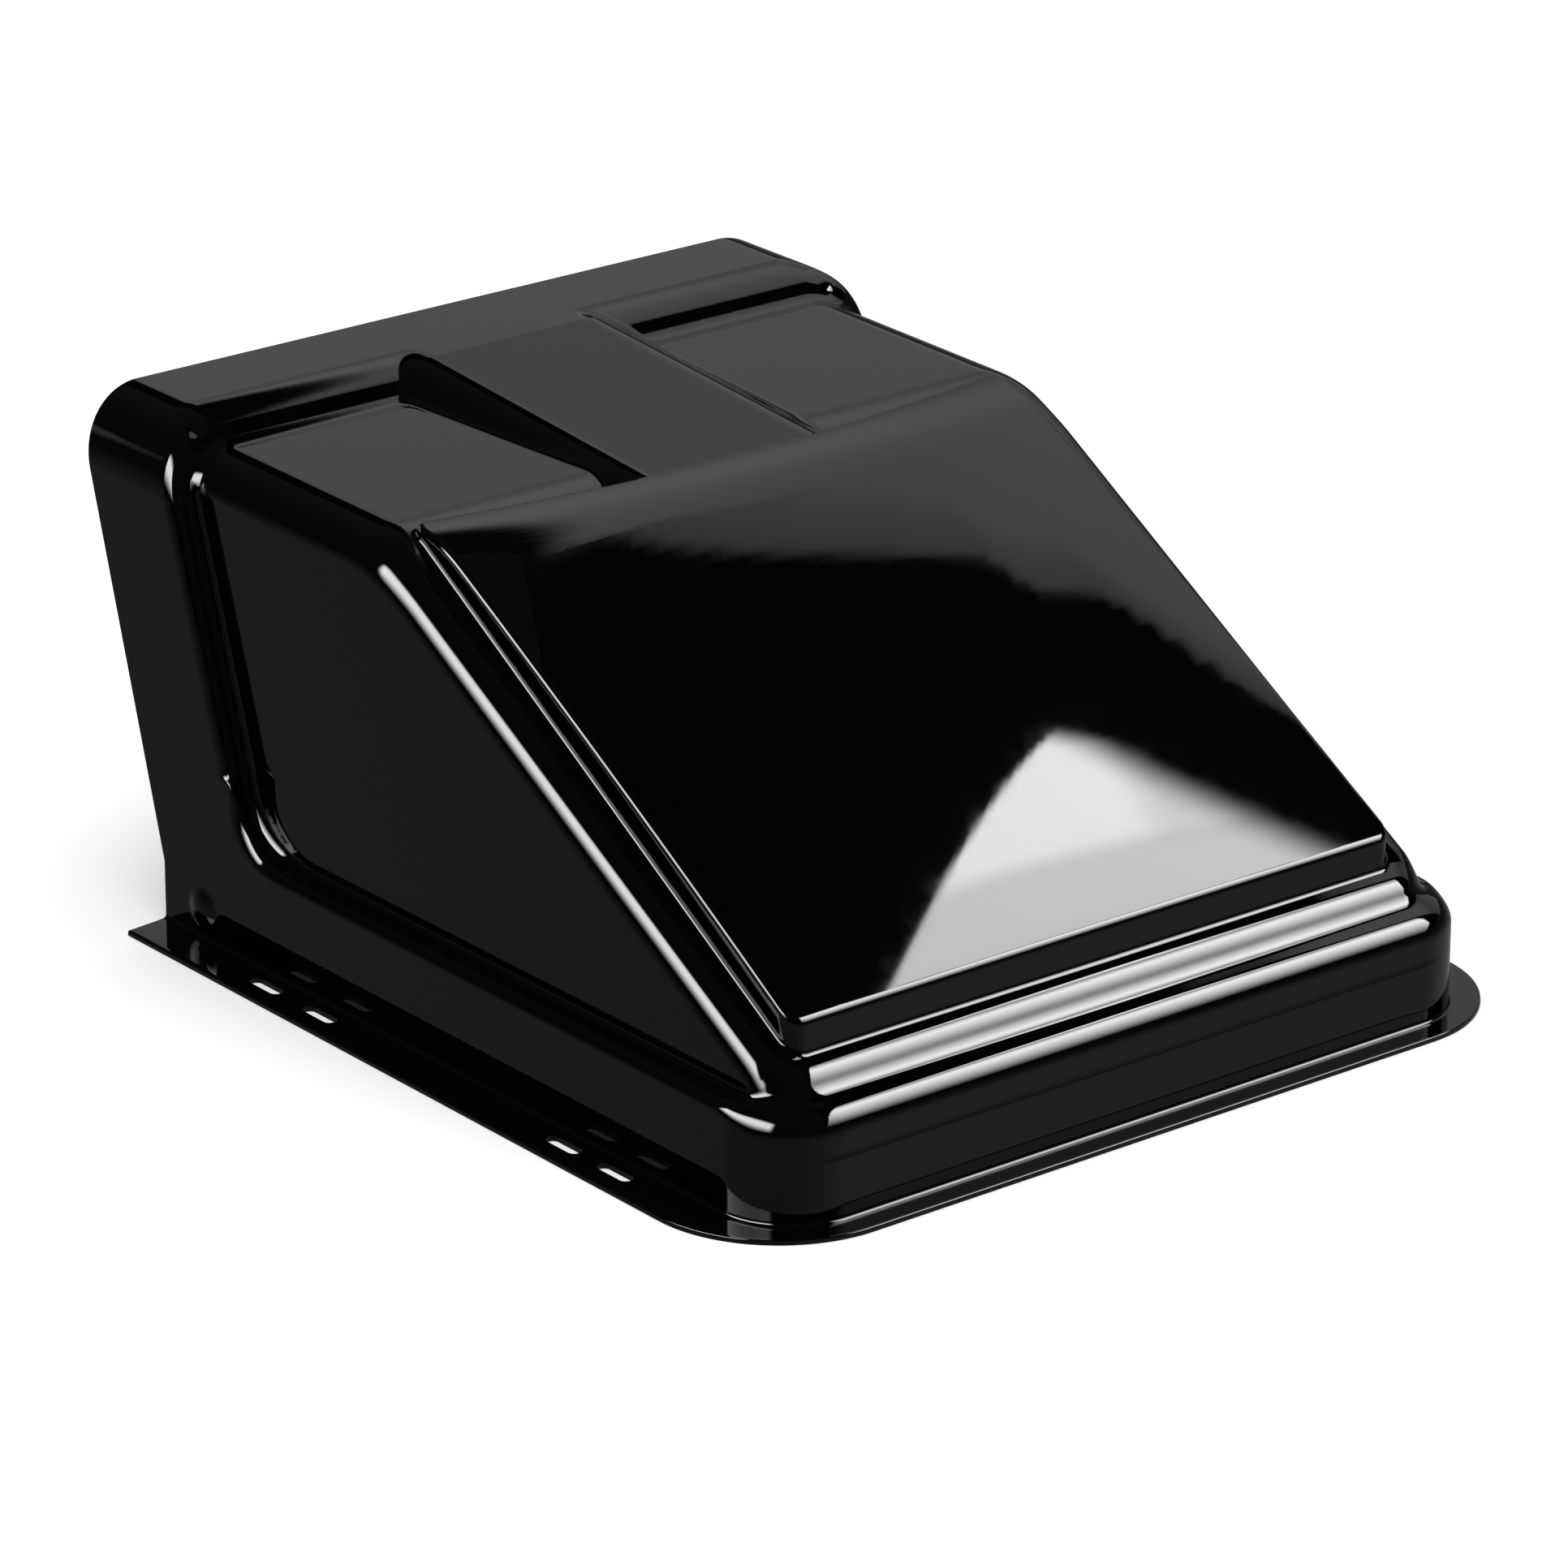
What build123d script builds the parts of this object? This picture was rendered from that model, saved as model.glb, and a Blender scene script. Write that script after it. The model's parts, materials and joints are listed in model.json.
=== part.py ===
from build123d import *
import os
from math import cos, radians, sin, tan

# A roof vent cover: a moulded black hood, open at the rear, closed there by a louvred
# grille with an insect screen. The grille swings down on two pins for cleaning.
# Millimetres. +Z up, -Y is the low front, +Y the open rear, origin at the middle of the base.

# ---- hood: driving dimensions ----
LENGTH = 651.0            # front edge of the flange to the rear edge of the roof
WIDTH = 559.0             # over the flange
HEIGHT = 298.6
WALL = 3.0
FLANGE_REAR = 572.0       # where the side flanges stop, from the front edge
FLANGE_CORNER = 80.0
SKIRT_FRONT = 16.5        # front face of the skirt, from the front edge
SKIRT_HALF = 251.3
SKIRT_CORNER = 46.0
LEDGE_Z = 65.4            # top of the skirt
LEDGE_ROUND = 7.0
CORE_FRONT = 34.0
CORE_HALF = 236.0         # recessed side panels
CORE_CORNER = 30.0
CORE_ROUND = 16.0
PAD_Z = 280.5             # floor of the two roof recesses
RIDGE = 391.0             # where slope and pads would meet, from the front edge
RIDGE_ROUND = 60.0
SLOPE = 0.579             # rise per millimetre of the wedge
RIM_STOP = 5.0            # the core's rounded rim ends this far before the rear
BAND_FRONT = 570.5        # front face of the full-width rear band, at the roof
BAND_LEAN = 0.325
BAND_ROUND = 40.0
BAND_FOOT_ROUND = 40.0
RAMP_TOP = 588.0          # the recesses' rear walls ramp down from here
RAMP_SLOPE = 0.6
RAMP_HALF = 214.0
REAR_LEAN = 0.292         # rear edge: runs back this much per millimetre of height
REAR_STRAIGHT_Z = 38.0    # and is upright below this height
SPINE_HALF = 67.0         # half width of the spine's flat top
SPINE_START = 300.0
SPINE_SPREAD = 0.95       # its side walls spread this much per millimetre down
SPINE_FALL = 0.078        # the roof between the recesses falls this much per millimetre
FALL_START = 579.0
PANEL_FRONT = 52.0
PANEL_REAR = 393.0
PANEL_BOW = 18.0          # the panel's rear edge comes forward this much at the middle
PANEL_HALF_FRONT = 213.4
PANEL_HALF_REAR = 207.0
# slope panel's surface: (from the front edge, height at its sides, crown at its middle)
PANEL_SECTIONS = (
    (20.0, 81.0, 0.5),
    (120.0, 143.5, 1.0),
    (215.0, 198.4, 2.5),
    (310.0, 251.0, 5.0),
    (420.0, 308.0, 8.0),
    (620.0, 408.0, 8.0),
)
CREST_ROUND = 30.0
PANEL_CORNER = 11.0
EDGE_ROUND = 3.0
BAND_EDGE_ROUND = 4.0
BELOW = -20.0             # bodies start below the base and are trimmed there
BEHIND = 720.0            # and reach past the rear edge
NEAR = 0.5                # an edge this close to a plane lies on it
RIM_REACH = 2.0

# ---- flange slots ----
SLOT_X = 264.0
SLOT_YS = (138.0, 183.0, 406.5, 458.0)
SLOT_WIDTH = 8.0
SLOT_LENGTH = 27.0

# ---- pivots of the rear grille ----
PIVOT_Y = 537.5
PIVOT_Z = 20.0
PIN_R = 4.0
PIN_CLEARANCE = 0.05
BUSH_R = 6.5
BUSH_FLANGE_R = 9.0
BUSH_FLANGE = 1.2
BOSS_R = 11.0
BOSS_INNER_X = 243.3
DOME_RISE = 4.0
DOME_R = 10.5
BUSH_END_X = 252.8        # bottom of the bush's bore in the dome
PIN_BORE_END_X = 252.0
PIN_END_X = 251.5

# ---- rear grille, in its own plane: U across, V up, N towards the front ----
LEAN = 16.3               # degrees
FRAME_HALF = 241.5
FRAME_LOW = -10.0
FRAME_TOP = 276.0
FRAME_BACK = -13.0
FRAME_FACE = 11.0
FRAME_CORNER = 22.0
OPENING_HALF = 217.5
OPENING_LOW = 16.0
OPENING_TOP = 236.0
MULLION_HALF = 10.0
REBATE = 8.0
REBATE_N = 5.0
LOUVRES = 8
LOUVRE_CHORD = 21.0
LOUVRE_THICK = 2.4
LOUVRE_TILT = 45.0
LOUVRE_N = -4.5
TENON = 3.0
SCREEN_GAP = 0.4
RAIL_WIDTH = 10.0
RAIL_DEPTH = 5.5
RAIL_BACK = REBATE_N + 0.1
RAIL_FACE = RAIL_BACK + RAIL_DEPTH
GROOVE = 3.0              # the rails' groove and the rubber spline pressed into it
GROOVE_DEPTH = 2.5
SPLINE = 2.8
SPLINE_DEPTH = 2.4
MESH_THICK = 0.5
LATCH_U = 150.0
LATCH_V = 252.0
SHAFT_R = 5.0
KNOB_R = 13.0
SQUARE = 6.0              # the knob's square end and the cam's square hole
WASHER_R = 7.5
WASHER_THICK = 1.6
WASHER_GAP = 0.2
CAM_N = 14.4
CAM_THICK = 3.0
CAM_REACH = 17.0
CAM_HALF = 6.0
CAM_HUB_R = 8.5
KEEPER_THICK = 2.0
KEEPER_HALF = 18.0
KEEPER_V = 272.0
TONGUE_V = 260.0
TONGUE_N = 11.6
KEEPER_N_END = 34.0
RIB_N = 15.0
RIB_THICK = 3.0
RIB_INNER = 232.0
RIB_LOW = 25.0
RIB_TOP = 266.0
KEEPER_GAP = 24.0         # half the gap in the rib and in the top seal at each keeper
SEAL_N_END = 14.6
PIN_DEPTH = 20.0
SCREW_R = 2.0
SCREW_GRIP = 6.0
SCREW_HEAD = 2.2
SCREW_HEAD_R = 3.8
SCREW_N = 25.0
LATCH_SCREW_R = 1.8
LATCH_SCREW_HEAD_R = 5.0
CLIP_U = 228.0
CLIP_THICK = 1.2
CLIP_SCREW_R = 1.6
CLIP_SCREW_GRIP = 8.0
SIDES = {"left": -1, "right": 1}

HALF_LENGTH = LENGTH / 2
GRILLE = Plane(
    origin=(0, PIVOT_Y - HALF_LENGTH, PIVOT_Z),
    x_dir=(1, 0, 0),
    z_dir=(0, -cos(radians(LEAN)), sin(radians(LEAN))),
)


def at(y):
    """Distance from the hood's front edge to the part's Y."""
    return y - HALF_LENGTH


def profile(*points):
    """A closed YZ face from (distance from front, height) corners."""
    return make_face(Polyline(*[(0, at(y), z) for y, z in points], close=True))


def across(face, half):
    """A YZ face made solid to both sides of the middle."""
    return extrude(face, amount=half, dir=(1, 0, 0), both=True)


def block(x0, x1, y0, y1, z0, z1):
    """A box by its limits."""
    middle = ((x0 + x1) / 2, (y0 + y1) / 2, (z0 + z1) / 2)
    return Pos(*middle) * Box(x1 - x0, y1 - y0, z1 - z0)


def mirrored(solid):
    """A left-hand piece and its right-hand twin."""
    return solid + mirror(solid, about=Plane.YZ)


# ---- hood ----
def slope_z(y):
    return PAD_Z - SLOPE * (RIDGE - y)


def skirt(inset):
    half = SKIRT_HALF - inset
    body = block(-half, half, at(SKIRT_FRONT + inset), at(BEHIND), BELOW, LEDGE_Z - inset)
    front = body.edges().filter_by(Axis.Z).sort_by(Axis.Y)[:2]
    body = fillet(front, SKIRT_CORNER - inset)
    rim = body.faces().sort_by(Axis.Z)[-1].outer_wire().edges().sort_by(Axis.Y)[:-1]
    return fillet(rim, LEDGE_ROUND - inset)


def core(inset):
    face = profile(
        (CORE_FRONT, BELOW),
        (CORE_FRONT, slope_z(CORE_FRONT)),
        (RIDGE, PAD_Z),
        (BEHIND, PAD_Z),
        (BEHIND, BELOW),
    )
    if inset:
        face = offset(face, amount=-inset, kind=Kind.INTERSECTION)
    body = across(face, CORE_HALF - inset)
    lengthwise = body.edges().filter_by(Axis.X)
    ridge = lengthwise.sort_by(Axis.Z)[-2:].sort_by(Axis.Y)[:1]
    body = fillet(ridge, RIDGE_ROUND - inset)
    front = body.edges().filter_by(Axis.Z).sort_by(Axis.Y)[:2]
    body = fillet(front, CORE_CORNER - inset)
    upper = [f for f in body.faces() if f.normal_at().Z > 0.1]
    outline = [e for f in upper for e in f.outer_wire().edges()]
    shared = [e for e in outline if sum(e.is_same(o) for o in outline) == 1]
    rim = [e for e in shared if (e @ 0.5).Y < at(BEHIND) - RIM_STOP]
    return fillet(rim, CORE_ROUND - inset)


def rear_band(inset):
    lean = Vector(0, BAND_LEAN, 1).normalized()
    foot_y = BAND_FRONT - BAND_LEAN * (HEIGHT - LEDGE_Z)
    turn = radians(Vector(0, 1, 0).get_angle(lean))
    reach = BAND_FOOT_ROUND * tan(turn / 2)
    start = (0, at(foot_y - reach), LEDGE_Z)
    end = (0, at(foot_y) + lean.Y * reach, LEDGE_Z + lean.Z * reach)
    foot = TangentArc(start, end, tangent=(0, 1, 0))
    rest = Polyline(
        end,
        (0, at(BAND_FRONT), HEIGHT),
        (0, at(BEHIND), HEIGHT),
        (0, at(BEHIND), BELOW),
        (0, at(foot_y - reach), BELOW),
        start,
    )
    face = make_face([foot, rest])
    if inset:
        face = offset(face, amount=-inset, kind=Kind.INTERSECTION)
    body = across(face, SKIRT_HALF - inset)
    top = body.faces().sort_by(Axis.Z)[-1]
    sides = top.outer_wire().edges().filter_by(Axis.Y)
    return fillet(sides, BAND_ROUND - inset) - above_ramp(inset)


def above_ramp(inset):
    """What is taken off the band's front so that it ramps down to the recesses."""
    run = 80.0
    top = HEIGHT - inset
    face = profile(
        (RAMP_TOP + inset * RAMP_SLOPE, top),
        (RAMP_TOP + inset * RAMP_SLOPE, HEIGHT + run),
        (RAMP_TOP - run, HEIGHT + run),
        (RAMP_TOP - run, top - RAMP_SLOPE * (run + inset * RAMP_SLOPE)),
    )
    return across(face, RAMP_HALF + inset)


def roof_z(y):
    """Height of the raised roof between the recesses, which falls towards the ridge."""
    return HEIGHT - SPINE_FALL * (FALL_START - y)


def under_roof(inset):
    face = profile(
        (0, 0),
        (0, roof_z(0) - inset),
        (FALL_START, HEIGHT - inset),
        (BEHIND, HEIGHT - inset),
        (BEHIND, 0),
    )
    return across(face, SKIRT_HALF)


def slope_section(y, edge_z, crown, drop):
    """One section across the slope panel's crowned surface."""
    half, foot_z = SKIRT_HALF, -60
    middle_z = edge_z + crown
    outer_z = middle_z - crown * (half / PANEL_HALF_FRONT) ** 2
    top = ThreePointArc((-half, outer_z), (0, middle_z), (half, outer_z))
    sides = Polyline(top @ 1, (half, foot_z), (-half, foot_z), top @ 0)
    face = make_face([top, sides])
    return Plane.XZ.offset(-at(y)) * (Pos(0, -drop, 0) * face)


def raised_top(inset):
    """Everything under the crowned slope and the roof, with a soft crest between them."""
    drop = inset * (1 + SLOPE**2) ** 0.5
    sections = [slope_section(y, z, crown, drop) for y, z, crown in PANEL_SECTIONS]
    body = loft(sections) & under_roof(inset)
    wide = [e for e in body.edges() if e.length > SKIRT_HALF and (e @ 0.5).Z > SKIRT_HALF]
    crest = [e for e in wide if at(PANEL_REAR - 50) < (e @ 0.5).Y < at(PANEL_REAR + 10)]
    return fillet(crest, CREST_ROUND)


def spine_plan(inset):
    """The strip between the two roof recesses, its sloping sides running down with the roof."""
    rear, depth = BAND_FRONT + 20, 50.0
    top_z = roof_z(rear)
    half = SPINE_HALF - inset
    foot = half + SPINE_SPREAD * depth
    corners = [(-foot, top_z - depth), (-half, top_z), (half, top_z), (foot, top_z - depth)]
    outline = Plane.XZ.offset(-at(rear)) * make_face(Polyline(*corners, close=True))
    return extrude(outline, amount=rear - SPINE_START, dir=(0, -1, -SPINE_FALL))


def surface_z(y):
    """Height of the slope panel's side edges, straight between its sections."""
    for (y0, z0, _), (y1, z1, _) in zip(PANEL_SECTIONS, PANEL_SECTIONS[1:]):
        if y <= y1:
            return z0 + (z1 - z0) * (y - y0) / (y1 - y0)
    return HEIGHT


def panel_plan(inset):
    """The raised panel's outline, narrower at the ridge, its rear edge bowed forward."""
    edge = [
        (-PANEL_HALF_REAR + inset, at(PANEL_REAR - inset)),
        (-PANEL_HALF_FRONT + inset, at(PANEL_FRONT + inset)),
        (PANEL_HALF_FRONT - inset, at(PANEL_FRONT + inset)),
        (PANEL_HALF_REAR - inset, at(PANEL_REAR - inset)),
    ]
    rear = ThreePointArc(edge[3], (0, at(PANEL_REAR - inset - PANEL_BOW)), edge[0])
    plan = make_face([Polyline(*edge), rear])
    plan = fillet(plan.vertices(), PANEL_CORNER - inset)
    return extrude(Pos(0, 0, 30) * plan, amount=HEIGHT)


def raised_form(inset):
    """Rear band, spine and slope panel, all standing proud of the core."""
    top = raised_top(inset)
    body = rear_band(inset) + ((spine_plan(inset) + panel_plan(inset)) & top)
    if inset:
        return body
    body = fillet([e for e in body.edges() if on_band_front(e @ 0.5)], BAND_EDGE_ROUND)
    return fillet([e for e in body.edges() if on_panel_rim(e)], EDGE_ROUND)


def on_band_front(point):
    """True on the outer outline of the band's leaning front face."""
    away = abs(point.Y - at(BAND_FRONT - BAND_LEAN * (HEIGHT - point.Z)))
    low = point.Z < LEDGE_Z + BAND_FOOT_ROUND
    outside = abs(point.X) > SKIRT_HALF - NEAR
    on_roof = point.Z > HEIGHT - NEAR and abs(point.X) > RAMP_HALF - NEAR
    on_corner = point.Z > HEIGHT - BAND_ROUND and abs(point.X) > SKIRT_HALF - BAND_ROUND
    if low:
        return outside and away < BAND_FOOT_ROUND / 2
    return away < 3 * NEAR and (outside or on_roof or on_corner)


def on_panel_rim(edge):
    """True on the upper outline of the slope panel, up to the spine."""
    middle = edge @ 0.5
    front = middle.Y < at(PANEL_FRONT + RIM_REACH)
    rear = middle.Y > at(PANEL_REAR - PANEL_BOW)
    beside = abs(middle.X) > PANEL_HALF_REAR - 5 * RIM_REACH
    behind = middle.Y > at(PANEL_REAR + RIM_REACH)
    in_spine = abs(middle.X) < SPINE_HALF and not front
    y = middle.Y + HALF_LENGTH
    upper = middle.Z > min(roof_z(y), surface_z(y)) - EDGE_ROUND
    return (front or rear or beside) and upper and not behind and not in_spine and edge.length > 2 * RIM_REACH


def hood_form(inset):
    return core(inset) + skirt(inset) + raised_form(inset)


def rear_cut():
    """What lies behind the hood's rear edge: upright at first, then leaning back."""
    straight_y = LENGTH - REAR_LEAN * (HEIGHT - REAR_STRAIGHT_Z)
    top, low, far = HEIGHT + 30, BELOW - 5, BEHIND + 30
    face = profile(
        (straight_y, low),
        (straight_y, REAR_STRAIGHT_Z),
        (straight_y + REAR_LEAN * (top - REAR_STRAIGHT_Z), top),
        (far, top),
        (far, low),
    )
    return across(face, WIDTH)


def slot(x, y):
    outline = SlotOverall(SLOT_LENGTH, SLOT_WIDTH, rotation=90)
    return Pos(x, at(y), 0) * extrude(outline, amount=2 * WALL, both=True)


def flange():
    plate = block(-WIDTH / 2, WIDTH / 2, at(0), at(FLANGE_REAR), 0, WALL)
    plate = fillet(plate.edges().filter_by(Axis.Z).sort_by(Axis.Y)[:2], FLANGE_CORNER)
    for x in (-SLOT_X, SLOT_X):
        for y in SLOT_YS:
            plate -= slot(x, y)
    return plate


def disc(radius, low, high):
    """A round bar along Z between two heights."""
    return Pos(0, 0, low) * Cylinder(radius, high - low, align=(Align.CENTER, Align.CENTER, Align.MIN))


def outward(side):
    """The pivot axis on one side, Z pointing away from the hood."""
    return Plane(origin=(0, at(PIVOT_Y), PIVOT_Z), x_dir=(0, 1, 0), z_dir=(side, 0, 0))


def pivot_boss(side):
    """The domed socket outside the wall and the boss inside it, for one pivot bush."""
    boss = disc(DOME_R, BOSS_INNER_X, SKIRT_HALF + DOME_RISE)
    return outward(side) * fillet(boss.edges().sort_by(Axis.Z)[-1], DOME_RISE - 0.5)


def pivot_bore(side, radius, x_start, x_end):
    return outward(side) * disc(radius, x_start, x_end)


def in_grille(u0, u1, v0, v1, n0, n1):
    """A box by its limits in the grille's own plane."""
    return GRILLE * block(u0, u1, v0, v1, n0, n1)


def stop_ribs():
    """The moulded rib that the grille closes against, with gaps for the two keepers."""
    half = SKIRT_HALF - 1
    n_end = RIB_N + 2 * RIB_THICK
    rib = in_grille(-half, half, RIB_LOW, HEIGHT, RIB_N, RIB_N + RIB_THICK)
    rib -= in_grille(-RIB_INNER, RIB_INNER, 0, RIB_TOP, 0, n_end)
    for u in (-LATCH_U, LATCH_U):
        rib -= in_grille(u - KEEPER_GAP, u + KEEPER_GAP, RIB_TOP - 10, HEIGHT + 20, 0, n_end)
    return rib


def keeper_bosses():
    bosses = in_grille(LATCH_U - KEEPER_HALF, LATCH_U + KEEPER_HALF, KEEPER_V, HEIGHT, TONGUE_N, KEEPER_N_END)
    for u, v, n in keeper_screw_places(1):
        bosses -= GRILLE * Pos(u, v, n) * Rot(-90, 0, 0) * Cylinder(SCREW_R, 2 * SCREW_GRIP)
    return mirrored(bosses)


def cover_shell():
    outside = hood_form(0)
    inside = hood_form(WALL)
    shell = outside - inside
    shell += flange() - inside
    shell += mirrored(pivot_boss(1))
    shell += (stop_ribs() + keeper_bosses()) & hood_form(WALL / 2)
    shell -= mirrored(pivot_bore(1, BUSH_R, BOSS_INNER_X - 1, BUSH_END_X))
    shell -= rear_cut()
    shell -= block(-WIDTH, WIDTH, at(-50), at(BEHIND + 50), BELOW - 20, 0)
    return shell


def pivot_bush(side):
    bush = pivot_bore(side, BUSH_R, BOSS_INNER_X, BUSH_END_X)
    bush += pivot_bore(side, BUSH_FLANGE_R, BOSS_INNER_X - BUSH_FLANGE, BOSS_INNER_X)
    return bush - pivot_bore(side, PIN_R + PIN_CLEARANCE, BOSS_INNER_X - 5, PIN_BORE_END_X)


def pivot_pin(side):
    return pivot_bore(side, PIN_R, FRAME_HALF - PIN_DEPTH, PIN_END_X)


# ---- keepers and latches ----
def keeper_screw_places(side):
    return [(side * LATCH_U + du, KEEPER_V, SCREW_N) for du in (-10, 10)]


def keeper(side):
    """An angle plate: one leg under the boss, the other the tongue that the cam turns behind."""
    u = side * LATCH_U
    tongue_end = TONGUE_N + KEEPER_THICK
    leg = block(u - KEEPER_HALF, u + KEEPER_HALF, KEEPER_V - KEEPER_THICK, KEEPER_V, TONGUE_N, KEEPER_N_END)
    tongue = block(u - KEEPER_HALF, u + KEEPER_HALF, TONGUE_V, KEEPER_V, TONGUE_N, tongue_end)
    plate = leg + tongue
    plate = fillet([e for e in plate.edges().filter_by(Axis.Y) if (e @ 0.5).Z > KEEPER_N_END - NEAR], 3)
    for place_u, v, n in keeper_screw_places(side):
        plate -= Pos(place_u, v, n) * Rot(-90, 0, 0) * Cylinder(SCREW_R + 0.2, 20)
    return GRILLE * plate


def cross_slot(z, width, length, depth):
    """A cross recess sunk half its depth below a screw head's face."""
    return Pos(0, 0, z) * (Box(width, length, depth) + Box(length, width, depth))


def keeper_screw(u, v, n):
    """A pan-head screw driven up into the boss."""
    low = -KEEPER_THICK - SCREW_HEAD
    head = disc(SCREW_HEAD_R, low, -KEEPER_THICK)
    head = fillet(head.edges().sort_by(Axis.Z)[0], 0.8)
    screw = head + disc(SCREW_R, low + 0.5, SCREW_GRIP) - cross_slot(low, 0.9, 4, 1.6)
    return GRILLE * Pos(u, v, n) * Rot(-90, 0, 0) * screw


def keeper_screws():
    places = keeper_screw_places(-1) + keeper_screw_places(1)
    return Compound(children=[keeper_screw(*place) for place in places])


def about_latch(side):
    return GRILLE * Pos(side * LATCH_U, LATCH_V, 0)


def latch_knob(side):
    """Knob on the rear face, its shaft through the top rail and a square end for the cam."""
    back = FRAME_BACK - 0.3
    shaft_end = CAM_N - WASHER_THICK
    half = SQUARE / 2
    rim = disc(KNOB_R, back - 4, back)
    rim = fillet(rim.edges().sort_by(Axis.Z)[0], 1.5)
    wing = Pos(0, 0, back - 8) * Box(22, 6, 9)
    wing = fillet(wing.edges().filter_by(Axis.Z), 2.5)
    wing = fillet(wing.faces().sort_by(Axis.Z)[0].edges(), 1.5)
    shaft = disc(SHAFT_R, back, shaft_end)
    square = block(-half, half, -half, half, shaft_end, CAM_N + CAM_THICK - 0.2)
    knob = rim + wing + shaft + square
    knob -= disc(LATCH_SCREW_R, CAM_N - 8, CAM_N + CAM_THICK)
    return about_latch(side) * knob


def latch_cam(side):
    """The pawl: sideways when released, up behind the keeper's tongue when locked."""
    inward = -side
    u0, u1 = sorted((0, inward * CAM_REACH))
    bar = block(u0, u1, -CAM_HALF, CAM_HALF, CAM_N, CAM_N + CAM_THICK)
    tip = bar.edges().filter_by(Axis.Z).sort_by(Axis.X, reverse=inward > 0)[:2]
    cam = fillet(tip, CAM_HALF - 1) + disc(CAM_HUB_R, CAM_N, CAM_N + CAM_THICK)
    cam -= Pos(0, 0, CAM_N) * Box(SQUARE, SQUARE, 4 * CAM_THICK)
    return about_latch(side) * cam


def latch_washer(side):
    low = FRAME_FACE + WASHER_GAP
    washer = disc(WASHER_R, low, low + WASHER_THICK) - disc(SHAFT_R + 0.3, 0, 2 * CAM_N)
    return about_latch(side) * washer


def latch_screw(side):
    face = CAM_N + CAM_THICK
    top = face + SCREW_HEAD
    head = disc(LATCH_SCREW_HEAD_R, face, top)
    head = fillet(head.edges().sort_by(Axis.Z)[-1], 0.8)
    screw = head + disc(LATCH_SCREW_R, CAM_N - 7.5, face) - cross_slot(top, 1, 5, 2)
    return about_latch(side) * screw


# ---- grille ----
def louvre_v(index):
    pitch = (OPENING_TOP - OPENING_LOW) / LOUVRES
    return OPENING_LOW + pitch * (index + 0.5)


def louvre_blade(u0, u1, v, slack=0.0):
    """One slat: a blade that sheds rain to the rear, with a rolled lower lip."""
    length = u1 - u0
    blade = Box(length, LOUVRE_CHORD + 2 * slack, LOUVRE_THICK + 2 * slack)
    blade = fillet(blade.edges().filter_by(Axis.X), (LOUVRE_THICK + 2 * slack) / 2 - 0.05)
    return Pos((u0 + u1) / 2, v, LOUVRE_N) * Rot(LOUVRE_TILT, 0, 0) * blade


def louvre(side, index):
    near, far = MULLION_HALF - TENON, OPENING_HALF + TENON
    u0, u1 = (near, far) if side > 0 else (-far, -near)
    return GRILLE * louvre_blade(u0, u1, louvre_v(index))


def grille_frame():
    depth = FRAME_FACE - FRAME_BACK
    frame = block(-FRAME_HALF, FRAME_HALF, FRAME_LOW, FRAME_TOP, FRAME_BACK, FRAME_FACE)
    frame = fillet(frame.edges().filter_by(Axis.Z).sort_by(Axis.Y)[-2:], FRAME_CORNER)
    frame = chamfer(frame.faces().sort_by(Axis.Z)[0].edges(), 1.5)
    for side in (-1, 1):
        u0, u1 = sorted((side * MULLION_HALF, side * OPENING_HALF))
        window = block(u0, u1, OPENING_LOW, OPENING_TOP, FRAME_BACK - 1, FRAME_FACE + 1)
        frame -= fillet(window.edges().filter_by(Axis.Z), 4)
        for index in range(LOUVRES):
            frame -= louvre_blade(u0 - TENON - 0.2, u1 + TENON + 0.2, louvre_v(index), 0.1)
        frame -= Pos(side * LATCH_U, LATCH_V, 0) * Cylinder(SHAFT_R + PIN_CLEARANCE, 4 * depth)
    reach = OPENING_HALF + REBATE
    frame -= block(-reach, reach, OPENING_LOW - REBATE, OPENING_TOP + REBATE, REBATE_N, FRAME_FACE + 1)
    for u, v in clip_places():
        frame -= Pos(u, v, FRAME_FACE) * Cylinder(CLIP_SCREW_R, 2 * CLIP_SCREW_GRIP)
    frame = GRILLE * frame
    return frame - mirrored(pivot_bore(1, PIN_R, FRAME_HALF - PIN_DEPTH, FRAME_HALF + 5))


def screen_limits():
    reach = OPENING_HALF + REBATE - SCREEN_GAP
    return reach, OPENING_LOW - REBATE + SCREEN_GAP, OPENING_TOP + REBATE - SCREEN_GAP


def screen_rail(name):
    """One mitred channel of the screen's frame, with the spline groove in its face."""
    half, low, top = screen_limits()
    ring = screen_loop(0, RAIL_WIDTH, RAIL_BACK, RAIL_FACE)
    ring -= screen_loop((RAIL_WIDTH - GROOVE) / 2, GROOVE, RAIL_FACE - GROOVE_DEPTH, RAIL_FACE + 1)
    reach = (top - low) / 2
    middle = (top + low) / 2
    corners = {
        "bottom": [(-half, low), (half, low), (half - reach, middle), (reach - half, middle)],
        "top": [(-half, top), (half, top), (half - reach, middle), (reach - half, middle)],
        "left": [(-half, low), (-half, top), (reach - half, middle)],
        "right": [(half, low), (half, top), (half - reach, middle)],
    }[name]
    wedge = Pos(0, 0, RAIL_BACK - 2) * make_face(Polyline(*corners, close=True))
    return GRILLE * (ring & extrude(wedge, amount=2 * RAIL_DEPTH))


def screen_rectangle(inset, n0, n1):
    """A plate the size of the screen's frame, drawn in on every side."""
    half, low, top = screen_limits()
    return block(inset - half, half - inset, low + inset, top - inset, n0, n1)


def screen_loop(inset, width, n0, n1):
    """A rectangular ring that follows the screen's frame."""
    return screen_rectangle(inset, n0, n1) - screen_rectangle(inset + width, n0 - 1, n1 + 1)


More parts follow.
